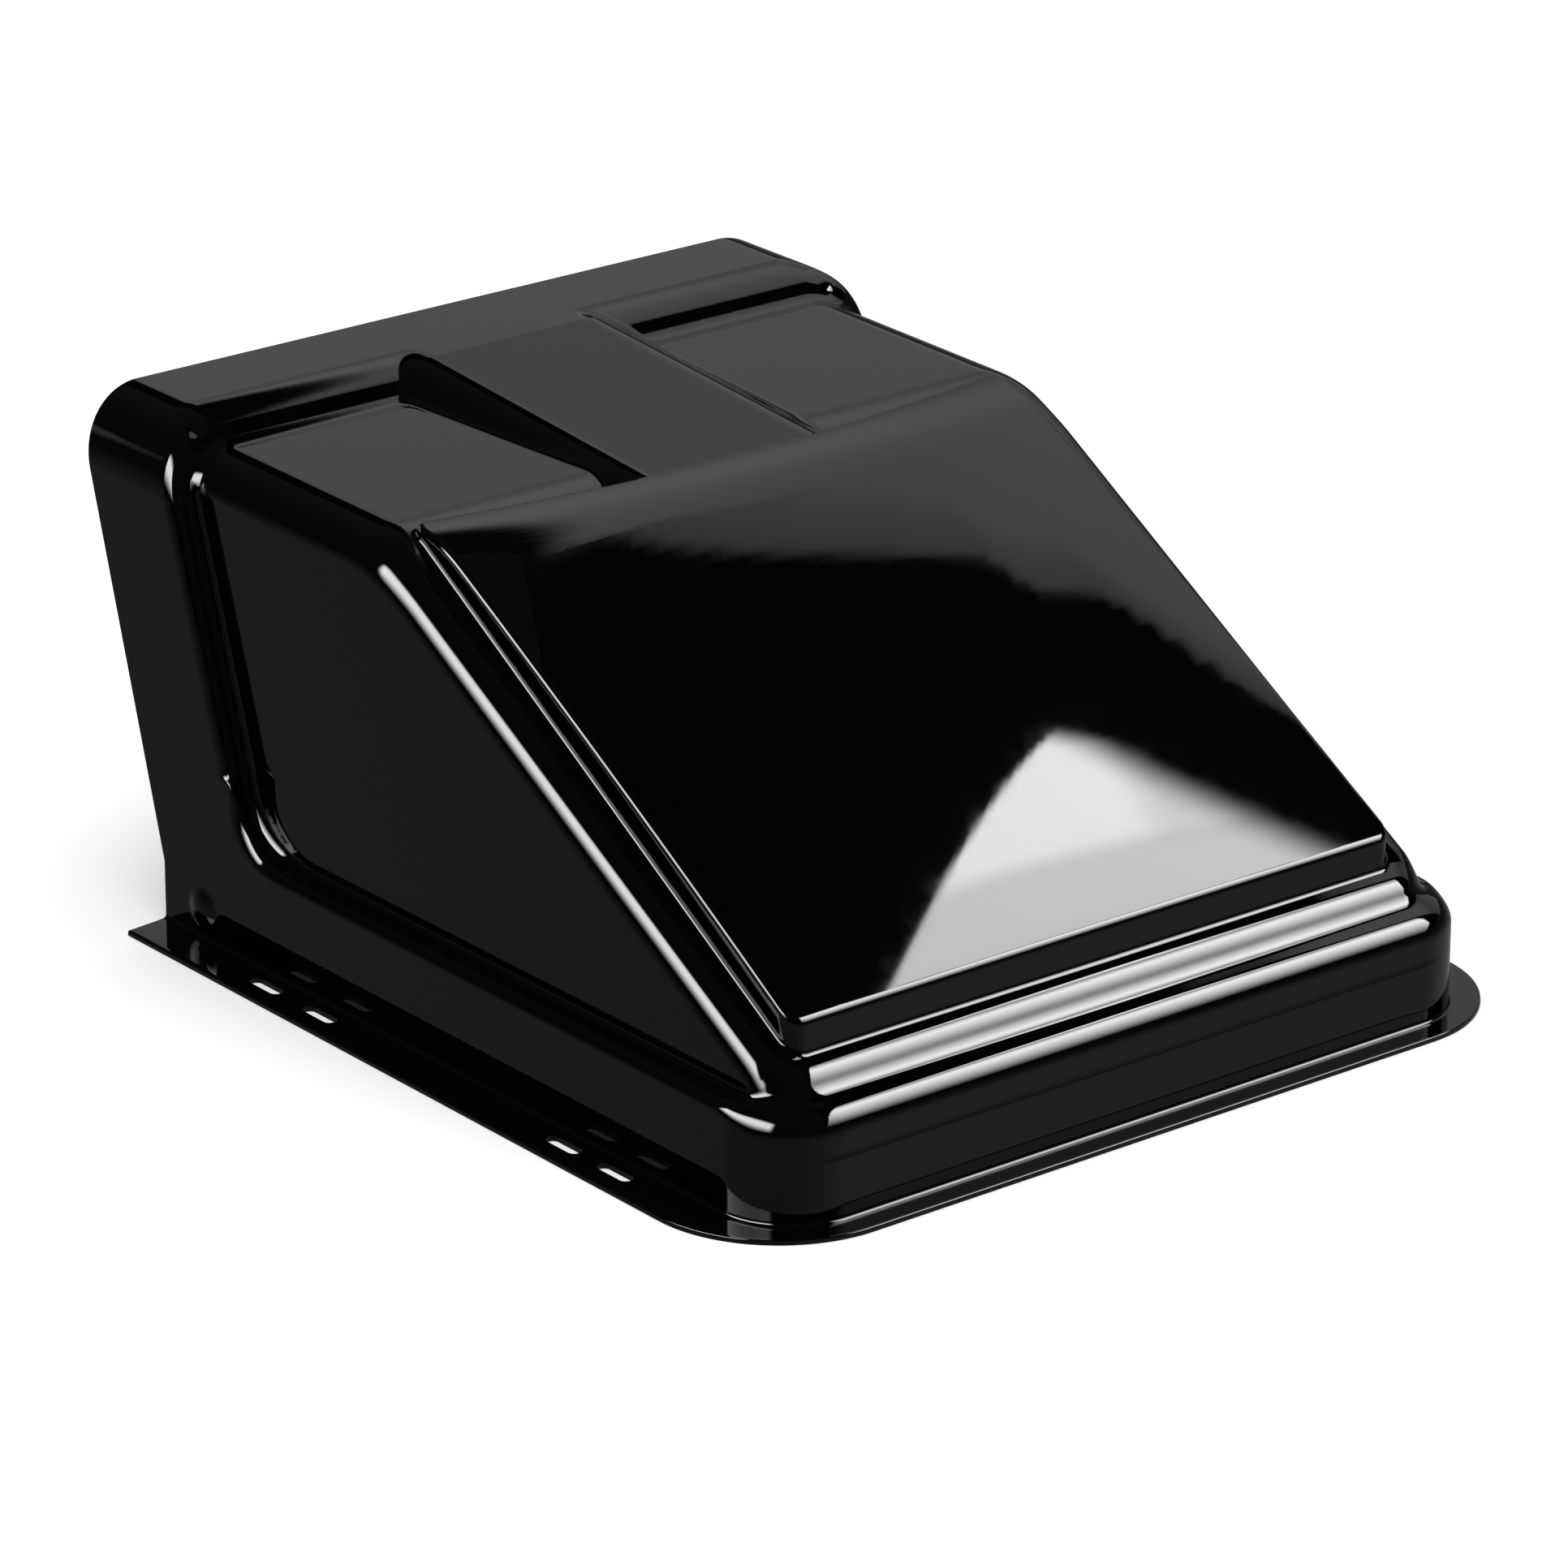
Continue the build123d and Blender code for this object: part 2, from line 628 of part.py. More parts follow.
def insect_screen():
    return GRILLE * screen_rectangle(RAIL_WIDTH + 0.2, RAIL_FACE - MESH_THICK, RAIL_FACE)


def screen_spline():
    return GRILLE * screen_loop((RAIL_WIDTH - SPLINE) / 2, SPLINE, RAIL_FACE - SPLINE_DEPTH, RAIL_FACE - 0.1)


def clip_places():
    middle = (OPENING_LOW + OPENING_TOP) / 2
    rows = (OPENING_LOW + 20, middle, OPENING_TOP - 20)
    return [(side * CLIP_U, v) for side in (-1, 1) for v in rows]


def screen_clips():
    clips = []
    for u, v in clip_places():
        side = 1 if u > 0 else -1
        u0, u1 = sorted((side * (CLIP_U + 4.5), side * (OPENING_HALF - 1)))
        clip = block(u0, u1, v - 7, v + 7, FRAME_FACE, FRAME_FACE + CLIP_THICK)
        clip = fillet(clip.edges().filter_by(Axis.Z), 2.5)
        clips.append(GRILLE * (clip - Pos(u, v, FRAME_FACE) * Cylinder(CLIP_SCREW_R + 0.15, 10)))
    return Compound(children=clips)


def screen_clip_screws():
    screws = []
    top = FRAME_FACE + CLIP_THICK
    for u, v in clip_places():
        head = fillet(disc(3.6, top, top + 1.8).edges().sort_by(Axis.Z)[-1], 0.7).solids()[0]
        screw = head + disc(CLIP_SCREW_R, FRAME_FACE - CLIP_SCREW_GRIP + 0.5, top)
        screw -= cross_slot(top + 1.8, 0.8, 3.4, 1.6)
        screws.append(GRILLE * Pos(u, v, 0) * screw)
    return Compound(children=screws)


def side_seal(side):
    u0, u1 = sorted((side * (RIB_INNER + 1), side * (FRAME_HALF - 0.5)))
    strip = block(u0, u1, 30, FRAME_TOP - FRAME_CORNER - 1, FRAME_FACE, SEAL_N_END)
    return GRILLE * fillet(strip.faces().sort_by(Axis.Z)[-1].edges().filter_by(Axis.Y), 1.2)


def top_seal():
    far, near = LATCH_U + KEEPER_GAP, LATCH_U - KEEPER_GAP
    end = FRAME_HALF - FRAME_CORNER
    runs = [(-end, -far), (-near, near), (far, end)]
    strips = []
    for u0, u1 in runs:
        strip = block(u0, u1, RIB_TOP + 1, FRAME_TOP - 0.5, FRAME_FACE, SEAL_N_END)
        strips.append(GRILLE * fillet(strip.faces().sort_by(Axis.Z)[-1].edges().filter_by(Axis.X), 1.2))
    return Compound(children=strips)


def pieces():
    """Every node's name and its shape."""
    yield "cover_shell", cover_shell()
    for name, side in SIDES.items():
        yield f"pivot_bush_{name}", pivot_bush(side)
        yield f"pivot_pin_{name}", pivot_pin(side)
        yield f"keeper_{name}", keeper(side)
        yield f"latch_knob_{name}", latch_knob(side)
        yield f"latch_cam_{name}", latch_cam(side)
        yield f"latch_washer_{name}", latch_washer(side)
        yield f"latch_screw_{name}", latch_screw(side)
        yield f"side_seal_{name}", side_seal(side)
        for index in range(LOUVRES):
            yield f"louvre_{name}_{index + 1}", louvre(side, index)
    yield "keeper_screws", keeper_screws()
    yield "grille_frame", grille_frame()
    for name in ("top", "bottom", "left", "right"):
        yield f"screen_rail_{name}", screen_rail(name)
    yield "screen_spline", screen_spline()
    yield "insect_screen", insect_screen()
    yield "screen_clips", screen_clips()
    yield "screen_clip_screws", screen_clip_screws()
    yield "top_seal", top_seal()


os.makedirs("parts", exist_ok=True)
for node, shape in pieces():
    export_step(shape, f"parts/{node}.step")
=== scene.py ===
import json
import math

import bmesh
import bpy
import numpy as np
from mathutils import Matrix, Vector

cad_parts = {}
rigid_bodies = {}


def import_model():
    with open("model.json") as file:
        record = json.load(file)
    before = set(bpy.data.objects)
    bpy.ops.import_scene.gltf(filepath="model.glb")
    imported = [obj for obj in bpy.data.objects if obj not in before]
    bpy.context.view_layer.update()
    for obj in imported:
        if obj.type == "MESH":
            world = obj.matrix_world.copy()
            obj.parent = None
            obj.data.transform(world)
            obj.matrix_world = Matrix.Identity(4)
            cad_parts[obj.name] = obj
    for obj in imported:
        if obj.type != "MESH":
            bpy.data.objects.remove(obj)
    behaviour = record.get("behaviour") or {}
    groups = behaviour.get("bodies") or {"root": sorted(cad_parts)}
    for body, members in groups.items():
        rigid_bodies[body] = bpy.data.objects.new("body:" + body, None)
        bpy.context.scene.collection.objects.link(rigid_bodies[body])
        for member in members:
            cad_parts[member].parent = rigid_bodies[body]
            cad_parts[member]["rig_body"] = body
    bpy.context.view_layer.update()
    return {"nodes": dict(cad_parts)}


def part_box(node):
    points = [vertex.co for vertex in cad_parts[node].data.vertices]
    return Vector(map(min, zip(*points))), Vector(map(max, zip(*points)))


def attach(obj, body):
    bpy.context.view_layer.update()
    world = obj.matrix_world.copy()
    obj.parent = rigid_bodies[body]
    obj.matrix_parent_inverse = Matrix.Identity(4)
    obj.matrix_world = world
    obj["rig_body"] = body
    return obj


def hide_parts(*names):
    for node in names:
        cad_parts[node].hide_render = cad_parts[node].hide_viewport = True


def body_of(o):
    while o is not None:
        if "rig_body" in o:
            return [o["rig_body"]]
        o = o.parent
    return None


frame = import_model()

# The hood's surface is one formula, in millimetres: x from the middle, y from the front
# edge of the flange, z from the floor. The mesh is read from it, so its curves are smooth.
MM = 0.001
LENGTH = 651.0
HEIGHT = 298.6
WALL = 3.0
SKIRT_FRONT, SKIRT_HALF, SKIRT_CORNER = 16.5, 251.3, 46.0
FLANGE_HALF, FLANGE_CORNER, FLANGE_REAR = 279.5, 80.0, 572.0
LEDGE_Z, LEDGE_ROUND, LEDGE_ROUND_FRONT = 65.4, 7.0, 9.0
LEDGE_FALL, LEDGE_MIDDLE = 0.47, 10.0    # the front ledge falls forward about its middle
CORE_HALF, CORE_ROUND, CORE_CORNER = 236.0, 16.0, 30.0
NOSE_PLACE, NOSE_ANGLE, NOSE_BLEND, NOSE_FOOT_BLEND = (37.0, 72.4), 60.0, 3.3, 3.4
BORDER_END, BORDER_SLOPE = 54.0, 0.51
PAD_Z, RIDGE, SLOPE, RIDGE_BLEND = 280.5, 391.0, 0.579, 8.5
BAND_FRONT, BAND_LEAN, BAND_ROUND, BAND_FOOT_BLEND = 570.5, 0.325, 42.0, 30.0
PAD_FALL, PAD_ROUND, PAD_REACH = 0.01, 20.0, 0.5
RAMP_TOP, RAMP_SLOPE, RAMP_BLEND = 585.0, 0.74, 9.0
SPINE_HALF, SPINE_START, SPINE_FALL, ROOF_FALL_START = 67.0, 300.0, 0.078, 579.0
SPINE_SLOPE = 0.9
PANEL_FRONT, PANEL_REAR, PANEL_BOW, PANEL_CORNER = 52.0, 393.0, 18.0, 11.0
PANEL_HALF_FRONT, PANEL_HALF_REAR = 213.4, 207.0
PANEL_MIDDLE = (215.0, 198.4)      # a point on the panel's side edges
PANEL_RISE, PANEL_BEND = 0.5658, -0.000127
CREST_BLEND = 9.0
EDGE_ROUND, EDGE_ROUND_FRONT, FOOT_BLEND, PANEL_FOOT_BLEND = 3.2, 2.6, 3.5, 1.6
REAR_LEAN, REAR_STRAIGHT_Z = 0.292, 38.0
REAR_STRAIGHT_Y = LENGTH - REAR_LEAN * (HEIGHT - REAR_STRAIGHT_Z)
DOME_Y, DOME_Z, DOME_RADIUS, DOME_RISE = 537.5, 20.0, 12.5, 2.8
SLOT_X, SLOT_YS, SLOT_RADIUS, SLOT_STRAIGHT = 264.0, (138.0, 183.0, 406.5, 458.0), 4.0, 9.5
GRILLE_LEAN, RIB_N, RIB_INNER, RIB_TOP = 16.3, 15.0, 232.0, 266.0
LATCH_U, KEEPER_GAP = 150.0, 24.0


# ---- the hood's formula ----
def round_edge(a, b, radius):
    """Where two half-spaces meet, with a round edge."""
    over = np.hypot(np.maximum(a + radius, 0), np.maximum(b + radius, 0))
    return np.minimum(np.maximum(a, b), -radius) + over


def soft_max(a, b, width):
    h = np.clip(0.5 + 0.5 * (a - b) / width, 0, 1)
    return b + (a - b) * h + width * h * (1 - h)


def soft_min(a, b, width):
    return -soft_max(-a, -b, width)


def smooth_step(low, high, value):
    t = np.clip((value - low) / (high - low), 0, 1)
    return t * t * (3 - 2 * t)


def slope_top(x, y):
    """Height of the crowned slope panel."""
    along = y - PANEL_MIDDLE[0]
    edge = PANEL_MIDDLE[1] + PANEL_RISE * along + PANEL_BEND * along**2
    crown = 0.5 + 7.5 * np.clip((y - 20) / 400, 0, 1.2) ** 1.6
    return edge + crown * (1 - (x / PANEL_HALF_FRONT) ** 2)


def roof_height(y):
    return HEIGHT - SPINE_FALL * np.maximum(ROOF_FALL_START - y, 0)


def pad_height(y):
    return PAD_Z + PAD_FALL * (y - RIDGE)


def recess_walls(x, y, z):
    """Front of the rear band and sides of the spine, which ramp down to the two roof recesses."""
    ramp = (z - HEIGHT + RAMP_SLOPE * (RAMP_TOP - y)) / math.hypot(1, RAMP_SLOPE)
    upright = (BAND_FRONT - BAND_LEAN * (HEIGHT - z) - y) / math.hypot(1, BAND_LEAN)
    outside = smooth_step(222, 244, x)
    band = np.maximum(ramp, -8) * (1 - outside) + upright * outside
    ramp = (z - roof_height(y) + SPINE_SLOPE * (x - SPINE_HALF)) / math.hypot(1, SPINE_SLOPE)
    spine = np.maximum(np.maximum(ramp, x - SPINE_HALF - 40), SPINE_START - y)
    return soft_min(band, spine, 5.0)


def raised(x, y, z, side):
    """Rear band, spine and slope panel, which stand proud of the core."""
    narrow = (PANEL_HALF_FRONT - PANEL_HALF_REAR) * (y - PANEL_FRONT) / (PANEL_REAR - PANEL_FRONT)
    panel = round_edge(x - PANEL_HALF_FRONT + narrow, PANEL_FRONT - y, PANEL_CORNER)
    rear_line = PANEL_REAR - PANEL_BOW * (1 - (x / PANEL_HALF_REAR) ** 2)
    panel = round_edge(panel, y - rear_line, PANEL_CORNER)
    slope = (z - slope_top(x, y)) / math.hypot(1, PANEL_RISE)
    roof = z - roof_height(y)
    radius = EDGE_ROUND + (EDGE_ROUND_FRONT - EDGE_ROUND) * smooth_step(90, 60, y)
    panel = round_edge(panel, soft_max(roof, slope, CREST_BLEND), radius)
    wrapped = np.maximum(roof, side - 40 * near_ledge(z))
    rear = soft_max(wrapped, slope, CREST_BLEND)
    return np.minimum(panel, soft_max(recess_walls(x, y, z), rear, RAMP_BLEND))


def near_ledge(z):
    """1 where the ledge rounds the sides over, 0 where the band does."""
    return smooth_step(110, 80, z)


def core(x, y, z):
    """The wedge with its recessed sides and the floor of the roof recesses."""
    lift = (SLOPE - BORDER_SLOPE) * np.maximum(BORDER_END - y, 0)
    pad = z - pad_height(y)
    slope = (z - PAD_Z + SLOPE * (RIDGE - y) - lift) / math.hypot(1, SLOPE)
    lean = math.radians(NOSE_ANGLE)
    nose = (NOSE_PLACE[0] - y) * math.sin(lean) + (z - NOSE_PLACE[1]) * math.cos(lean)
    top = soft_max(soft_max(slope, pad, RIDGE_BLEND), nose, NOSE_BLEND)
    on_pad = smooth_step(350, 410, y)
    radius = CORE_ROUND + (CORE_CORNER - CORE_ROUND) * smooth_step(64, 40, y)
    radius = radius + (PAD_ROUND - CORE_ROUND) * on_pad
    return round_edge((x - CORE_HALF) / (1 + PAD_REACH * on_pad), top, radius)


def hood(x, y, z):
    """Signed distance to the hood's outer surface, above the flange."""
    x = np.abs(x)
    side = round_edge(x - SKIRT_HALF, SKIRT_FRONT - y, SKIRT_CORNER)
    side = round_edge(side, z - HEIGHT, BAND_ROUND)
    blend = FOOT_BLEND + (BAND_FOOT_BLEND - FOOT_BLEND) * smooth_step(222, 238, x)
    front = smooth_step(70, 40, y)
    ledge = z - LEDGE_Z + front * LEDGE_FALL * (side + LEDGE_MIDDLE)
    upper = soft_min(ledge, raised(x, y, z, side), blend)
    radius = LEDGE_ROUND + (LEDGE_ROUND_FRONT - LEDGE_ROUND) * front
    lower = round_edge(side, upper, radius * near_ledge(z))
    foot = FOOT_BLEND + (NOSE_FOOT_BLEND - FOOT_BLEND) * front * smooth_step(80, 70, z)
    foot = foot + (PANEL_FOOT_BLEND - FOOT_BLEND) * front * smooth_step(74, 78, z)
    return soft_min(lower, core(x, y, z), foot)


def gradient(points):
    step = 0.05
    columns = []
    for axis in range(3):
        shift = np.zeros(3)
        shift[axis] = step
        columns.append(hood(*(points + shift).T) - hood(*(points - shift).T))
    return np.stack(columns, axis=1) / (2 * step)


# ---- reading a mesh from the formula ----
def spaced(*stretches):
    """Grid lines through stretches of (start, end, step)."""
    lines = []
    for start, end, step in stretches:
        count = max(1, round((end - start) / step))
        lines.extend(np.linspace(start, end, count, endpoint=False))
    lines.append(stretches[-1][1])
    return np.array(lines)


def hood_grid():
    coarse = 1.0
    fine = 1.3 * coarse
    half = spaced(
        (0, 56, 6), (56, 92, 1.6 * coarse), (92, 198, 5.5), (198, 217, 0.9 * coarse), (217, 256, fine)
    )
    xs = np.concatenate([-half[:0:-1], half])
    ys = spaced(
        (10, 66, fine), (66, 345, 5), (345, 400, 1.4 * coarse), (400, 476, 4),
        (476, 600, 1.8 * coarse), (600, 672, 5),
    )
    base = np.clip(PAD_Z - SLOPE * (RIDGE - ys), 72, PAD_Z)
    low = spaced((26, 56, 5), (56, 70, 1.1 * coarse))[:-1]
    start = np.maximum(70.5, base - 26)
    middle = np.linspace(70, start, 40, endpoint=False).T
    upper = np.linspace(start, base + 38, int(46 / coarse)).T
    zs = np.concatenate([np.tile(low, (len(ys), 1)), middle, upper], axis=1)
    return xs, ys, zs


def surface_quads():
    """Points and quads of the formula's zero surface on the curved grid."""
    xs, ys, zs = hood_grid()
    shape = (len(xs), len(ys), zs.shape[1])
    x = np.broadcast_to(xs[:, None, None], shape)
    y = np.broadcast_to(ys[None, :, None], shape)
    z = np.broadcast_to(zs[None, :, :], shape)
    grid = np.stack([x, y, z], axis=-1)
    value = hood(x, y, z)
    inside = value < 0
    cells = tuple(n - 1 for n in shape)
    total = np.zeros(cells + (3,))
    count = np.zeros(cells)
    crossings = []
    for axis in range(3):
        a = [slice(None)] * 3
        b = [slice(None)] * 3
        a[axis], b[axis] = slice(None, -1), slice(1, None)
        a, b = tuple(a), tuple(b)
        cross = inside[a] != inside[b]
        where = np.argwhere(cross)
        crossings.append((axis, where, inside[a][cross]))
        va, vb = value[a][cross], value[b][cross]
        t = (va / (va - vb))[:, None]
        points = grid[a][cross] * (1 - t) + grid[b][cross] * t
        others = [i for i in range(3) if i != axis]
        for da in (0, -1):
            for db in (0, -1):
                cell = where.copy()
                cell[:, others[0]] += da
                cell[:, others[1]] += db
                ok = np.all((cell >= 0) & (cell < np.array(cells)), axis=1)
                index = tuple(cell[ok].T)
                np.add.at(total, index, points[ok])
                np.add.at(count, index, 1)
    used = count > 0
    number = np.full(cells, -1)
    number[used] = np.arange(used.sum())
    points = total[used] / count[used][:, None]
    quads = []
    for axis, where, a_inside in crossings:
        others = [i for i in range(3) if i != axis]
        corners = []
        for da, db in ((0, 0), (-1, 0), (-1, -1), (0, -1)):
            cell = where.copy()
            cell[:, others[0]] += da
            cell[:, others[1]] += db
            ok = np.all((cell >= 0) & (cell < np.array(cells)), axis=1)
            ids = np.full(len(cell), -1)
            ids[ok] = number[tuple(cell[ok].T)]
            corners.append(ids)
        quad = np.stack(corners, axis=1)
        flip = a_inside ^ (axis == 1)
        quad[~flip] = quad[~flip][:, ::-1]
        quads.append(quad[(quad >= 0).all(axis=1)])
    return settle(points), np.concatenate(quads)


def settle(points, rounds=4):
    """Move points onto the zero surface along its gradient."""
    for _ in range(rounds):
        slope = gradient(points)
        value = hood(*points.T)
        size = np.maximum((slope**2).sum(axis=1), 0.2)
        points = points - slope * np.clip(value / size, -3, 3)[:, None]
    return points


def unit(vectors):
    return vectors / np.maximum(np.linalg.norm(vectors, axis=1, keepdims=True), 1e-9)


def to_frame(points):
    """From the formula's millimetres to the frame's metres."""
    return (np.asarray(points, float) - (0, LENGTH / 2, 0)) * MM


REAR_PLANE = (np.array([0, REAR_STRAIGHT_Y, REAR_STRAIGHT_Z]), unit(np.array([[0, 1, -REAR_LEAN]]))[0])
SEAM_PLANE = (np.array([0, 0, REAR_STRAIGHT_Z]), np.array([0, 0, -1.0]))


def trimmed_hood():
    """The hood's outer skin, cut at the rear edge and at the seam with the base."""
    points, quads = surface_quads()
    mesh = bpy.data.meshes.new("skin")
    mesh.from_pydata(points.tolist(), [], quads.tolist())
    bm = bmesh.new()
    bm.from_mesh(mesh)
    for place, normal in (REAR_PLANE, SEAM_PLANE):
        geometry = bm.verts[:] + bm.edges[:] + bm.faces[:]
        bmesh.ops.bisect_plane(
            bm, geom=geometry, dist=0.01, plane_co=place, plane_no=normal, clear_outer=True
        )
    loose = [v for v in bm.verts if not v.link_faces]
    bmesh.ops.delete(bm, geom=loose, context="VERTS")
    bm.verts.index_update()
    border = [[v.index for v in e.verts] for e in bm.edges if e.is_boundary]
    points = np.array([v.co for v in bm.verts])
    faces = [[v.index for v in f.verts] for f in bm.faces]
    bm.free()
    bpy.data.meshes.remove(mesh)
    return points, faces, border


def hood_shell():
    """Skin, inner skin and rims as one closed mesh, with a normal for every corner."""
    outer, faces, border = trimmed_hood()
    normals = unit(gradient(outer))
    inner = outer - WALL * normals
    on_border = np.zeros(len(outer), bool)
    on_border[np.array(border).ravel()] = True
    for place, plane in (REAR_PLANE, SEAM_PLANE):
        near = on_border & (np.abs((outer - place) @ plane) < 0.1)
        flat = normals[near] - np.outer(normals[near] @ plane, plane)
        inner[near] = outer[near] - WALL * flat / np.maximum((flat**2).sum(axis=1, keepdims=True), 0.3)
    count = len(outer)
    all_faces = [list(f) for f in faces]
    corner_normals = [normals[f] for f in faces]
    for f in faces:
        back = [i + count for i in reversed(f)]
        all_faces.append(back)
        corner_normals.append(-normals[[i - count for i in back]])
    directed = {(f[i], f[(i + 1) % len(f)]) for f in faces for i in range(len(f))}
    points = np.concatenate([outer, inner])
    for a, b in border:
        if (a, b) in directed:
            a, b = b, a
        rim = [a, b, b + count, a + count]
        all_faces.append(rim)
        p = points[rim]
        flat = np.cross(p[1] - p[0], p[3] - p[0])
        corner_normals.append(np.tile(flat / max(np.linalg.norm(flat), 1e-9), (4, 1)))
    return points, all_faces, np.concatenate(corner_normals)


def new_object(name, points, faces, normals=None):
    mesh = bpy.data.meshes.new(name)
    mesh.from_pydata(np.asarray(points).tolist(), [], faces)
    mesh.validate()
    for polygon in mesh.polygons:
        polygon.use_smooth = True
    if normals is not None:
        mesh.normals_split_custom_set(normals.tolist())
    obj = bpy.data.objects.new(name, mesh)
    bpy.context.scene.collection.objects.link(obj)
    return obj


# ---- base: flange, foot of the skirt and pivot domes ----
def base_stations():
    """Plan points of the skirt and of the flange's edge, from the rear of one side round the front."""
    fine = 1.2
    ys = spaced(
        (REAR_STRAIGHT_Y, 552, -3), (552, 523, -fine), (523, 110, -6), (110, SKIRT_FRONT + SKIRT_CORNER, -3)
    )
    side = [((SKIRT_HALF, y), (FLANGE_HALF, flange_y(y))) for y in ys]
    turns = np.radians(np.linspace(0, 90, 31))[1:]
    corner = [
        (arc(SKIRT_HALF, SKIRT_FRONT, SKIRT_CORNER, t), arc(FLANGE_HALF, 0, FLANGE_CORNER, t)) for t in turns
    ]
    near, far = corner[-1][0][0], corner[-1][1][0]
    front = [((near * k, SKIRT_FRONT), (far * k, 0.0)) for k in np.linspace(1, 0, 21)[1:]]
    right = np.array(side + corner + front)
    left = right[:-1][::-1].copy()
    left[..., 0] *= -1
    return np.concatenate([right, left])


def flange_y(y):
    """The flange stops a little short of the skirt and its corner starts earlier."""
    if y > 540:
        return y - (REAR_STRAIGHT_Y - FLANGE_REAR) * (y - 540) / (REAR_STRAIGHT_Y - 540)
    start, end = SKIRT_FRONT + SKIRT_CORNER, 110
    if y < end:
        return end - (end - y) * (end - FLANGE_CORNER) / (end - start)
    return y


def arc(half, front, radius, turn):
    return (half - radius + radius * math.cos(turn), front + radius - radius * math.sin(turn))


def base_profile():
    """Rows as (way along: 0 skirt to 1 flange edge, offset in mm, height), outer then inner."""
    fine = 1.2
    fillet, lip, sweep = 2.2, 0.8, np.radians(np.linspace(0, 90, 6))
    outer, inner = [], []
    for z in spaced((REAR_STRAIGHT_Z, WALL + fillet + 0.6, -fine)):
        outer.append((0, 0.0, z))
        inner.append((0, -WALL, z))
    for turn in sweep:
        rise = 1 - math.sin(turn)
        outer.append((0, fillet * (1 - math.cos(turn)), WALL + fillet * rise))
        inner.append((0, -WALL, 0.4 + (WALL + fillet) * rise))
    for way in np.linspace(0, 1, 8)[:-1]:
        outer.append((way, fillet * (1 - way) + 0.3 * (way == 0), WALL))
        inner.append((way, -(WALL - 0.4) * (way == 0), 0.0))
    for turn in sweep:
        back = 1 - math.sin(turn)
        outer.append((1, -lip * back, WALL - lip * (1 - math.cos(turn))))
        inner.append((1, -0.3 * back, 0.3 * (1 - math.cos(turn))))
    return outer, inner


def base_shell():
    stations = base_stations()
    skirt, edge = stations[:, 0], stations[:, 1]
    reach = edge - skirt
    size = np.linalg.norm(reach, axis=1, keepdims=True)
    outward = reach / size
    along = np.gradient(skirt, axis=0)
    normal = unit(np.stack([along[:, 1], -along[:, 0]], axis=1))
    flip = (normal * outward).sum(axis=1) < 0
    normal[flip] *= -1
    outer_rows, inner_rows = base_profile()
    loops = []
    for rows in (outer_rows, inner_rows):
        for way, offset, z in rows:
            direction = normal if way == 0 else outward
            xy = skirt + reach * way + direction * offset
            points = np.column_stack([xy, np.full(len(xy), z)])
            if way == 0 and rows is outer_rows:
                on_side = np.abs(skirt[:, :1]) > SKIRT_HALF - 1
                points[:, :2] += normal * dome(skirt[:, 1], z)[:, None] * on_side
            loops.append(points)
    rows, columns = len(outer_rows), len(stations)
    points = np.concatenate(loops)

    def at(side, row, column):
        return (side * rows + row) * columns + column

    faces = []
    for row in range(rows - 1):
        for column in range(columns - 1):
            quad = [
                at(0, row, column), at(0, row, column + 1), at(0, row + 1, column + 1), at(0, row + 1, column)
            ]
            faces.append(quad)
            faces.append([i + rows * columns for i in reversed(quad)])
        for column in (0, columns - 1):
            faces.append(
                [at(0, row, column), at(0, row + 1, column), at(1, row + 1, column), at(1, row, column)]
            )
    for row in (0, rows - 1):
        for column in range(columns - 1):
            faces.append(
                [at(0, row, column), at(0, row, column + 1), at(1, row, column + 1), at(1, row, column)]
            )
    return points, faces


def dome(y, z):
    """How far the pivot dome stands out of the skirt."""
    distance = np.hypot(y - DOME_Y, z - DOME_Z)
    ball = (DOME_RADIUS**2 + DOME_RISE**2) / (2 * DOME_RISE)
    cap = np.sqrt(np.maximum(ball**2 - distance**2, 0)) - ball + DOME_RISE
    height = np.maximum(soft_max(cap, np.zeros_like(cap), 1.0) - 0.25 * (cap < -1), 0)
    return height * (distance < DOME_RADIUS + 3)


def fix_normals(obj):
    bm = bmesh.new()
    bm.from_mesh(obj.data)
    bmesh.ops.recalc_face_normals(bm, faces=bm.faces[:])
    bm.to_mesh(obj.data)
    bm.free()


def cut_slots(obj):
    """The slots that the roof brackets' bolts pass through."""
    outline = []
    for turn in np.linspace(0, 2 * np.pi, 48, endpoint=False):
        end = SLOT_STRAIGHT if math.sin(turn) > 0 else -SLOT_STRAIGHT
        outline.append((SLOT_RADIUS * math.cos(turn), end + SLOT_RADIUS * math.sin(turn)))
    points, faces = [], []
    for x in (-SLOT_X, SLOT_X):
        for y in SLOT_YS:
            points_here, faces_here = prism([(x + a, y + b) for a, b in outline], -5, 9)
            faces.extend([i + len(points) for i in face] for face in faces_here)
            points.extend(points_here)
    cutter = new_object("slot_cutter", to_frame(points), faces)
    cut = obj.modifiers.new("slots", "BOOLEAN")
    cut.object = cutter
    cut.solver = "EXACT"
    bake_modifiers(obj)
    bpy.data.objects.remove(cutter)


def prism(outline, low, high):
    """An upright prism over an outline."""
    count = len(outline)
    points = [(x, y, z) for z in (low, high) for x, y in outline]
    faces = [list(range(count))[::-1], list(range(count, 2 * count))]
    for i in range(count):
        j = (i + 1) % count
        faces.append([i, j, j + count, i + count])
    return points, faces


def bake_modifiers(obj):
    depsgraph = bpy.context.evaluated_depsgraph_get()
    mesh = bpy.data.meshes.new_from_object(obj.evaluated_get(depsgraph))
    obj.modifiers.clear()
    obj.data = mesh


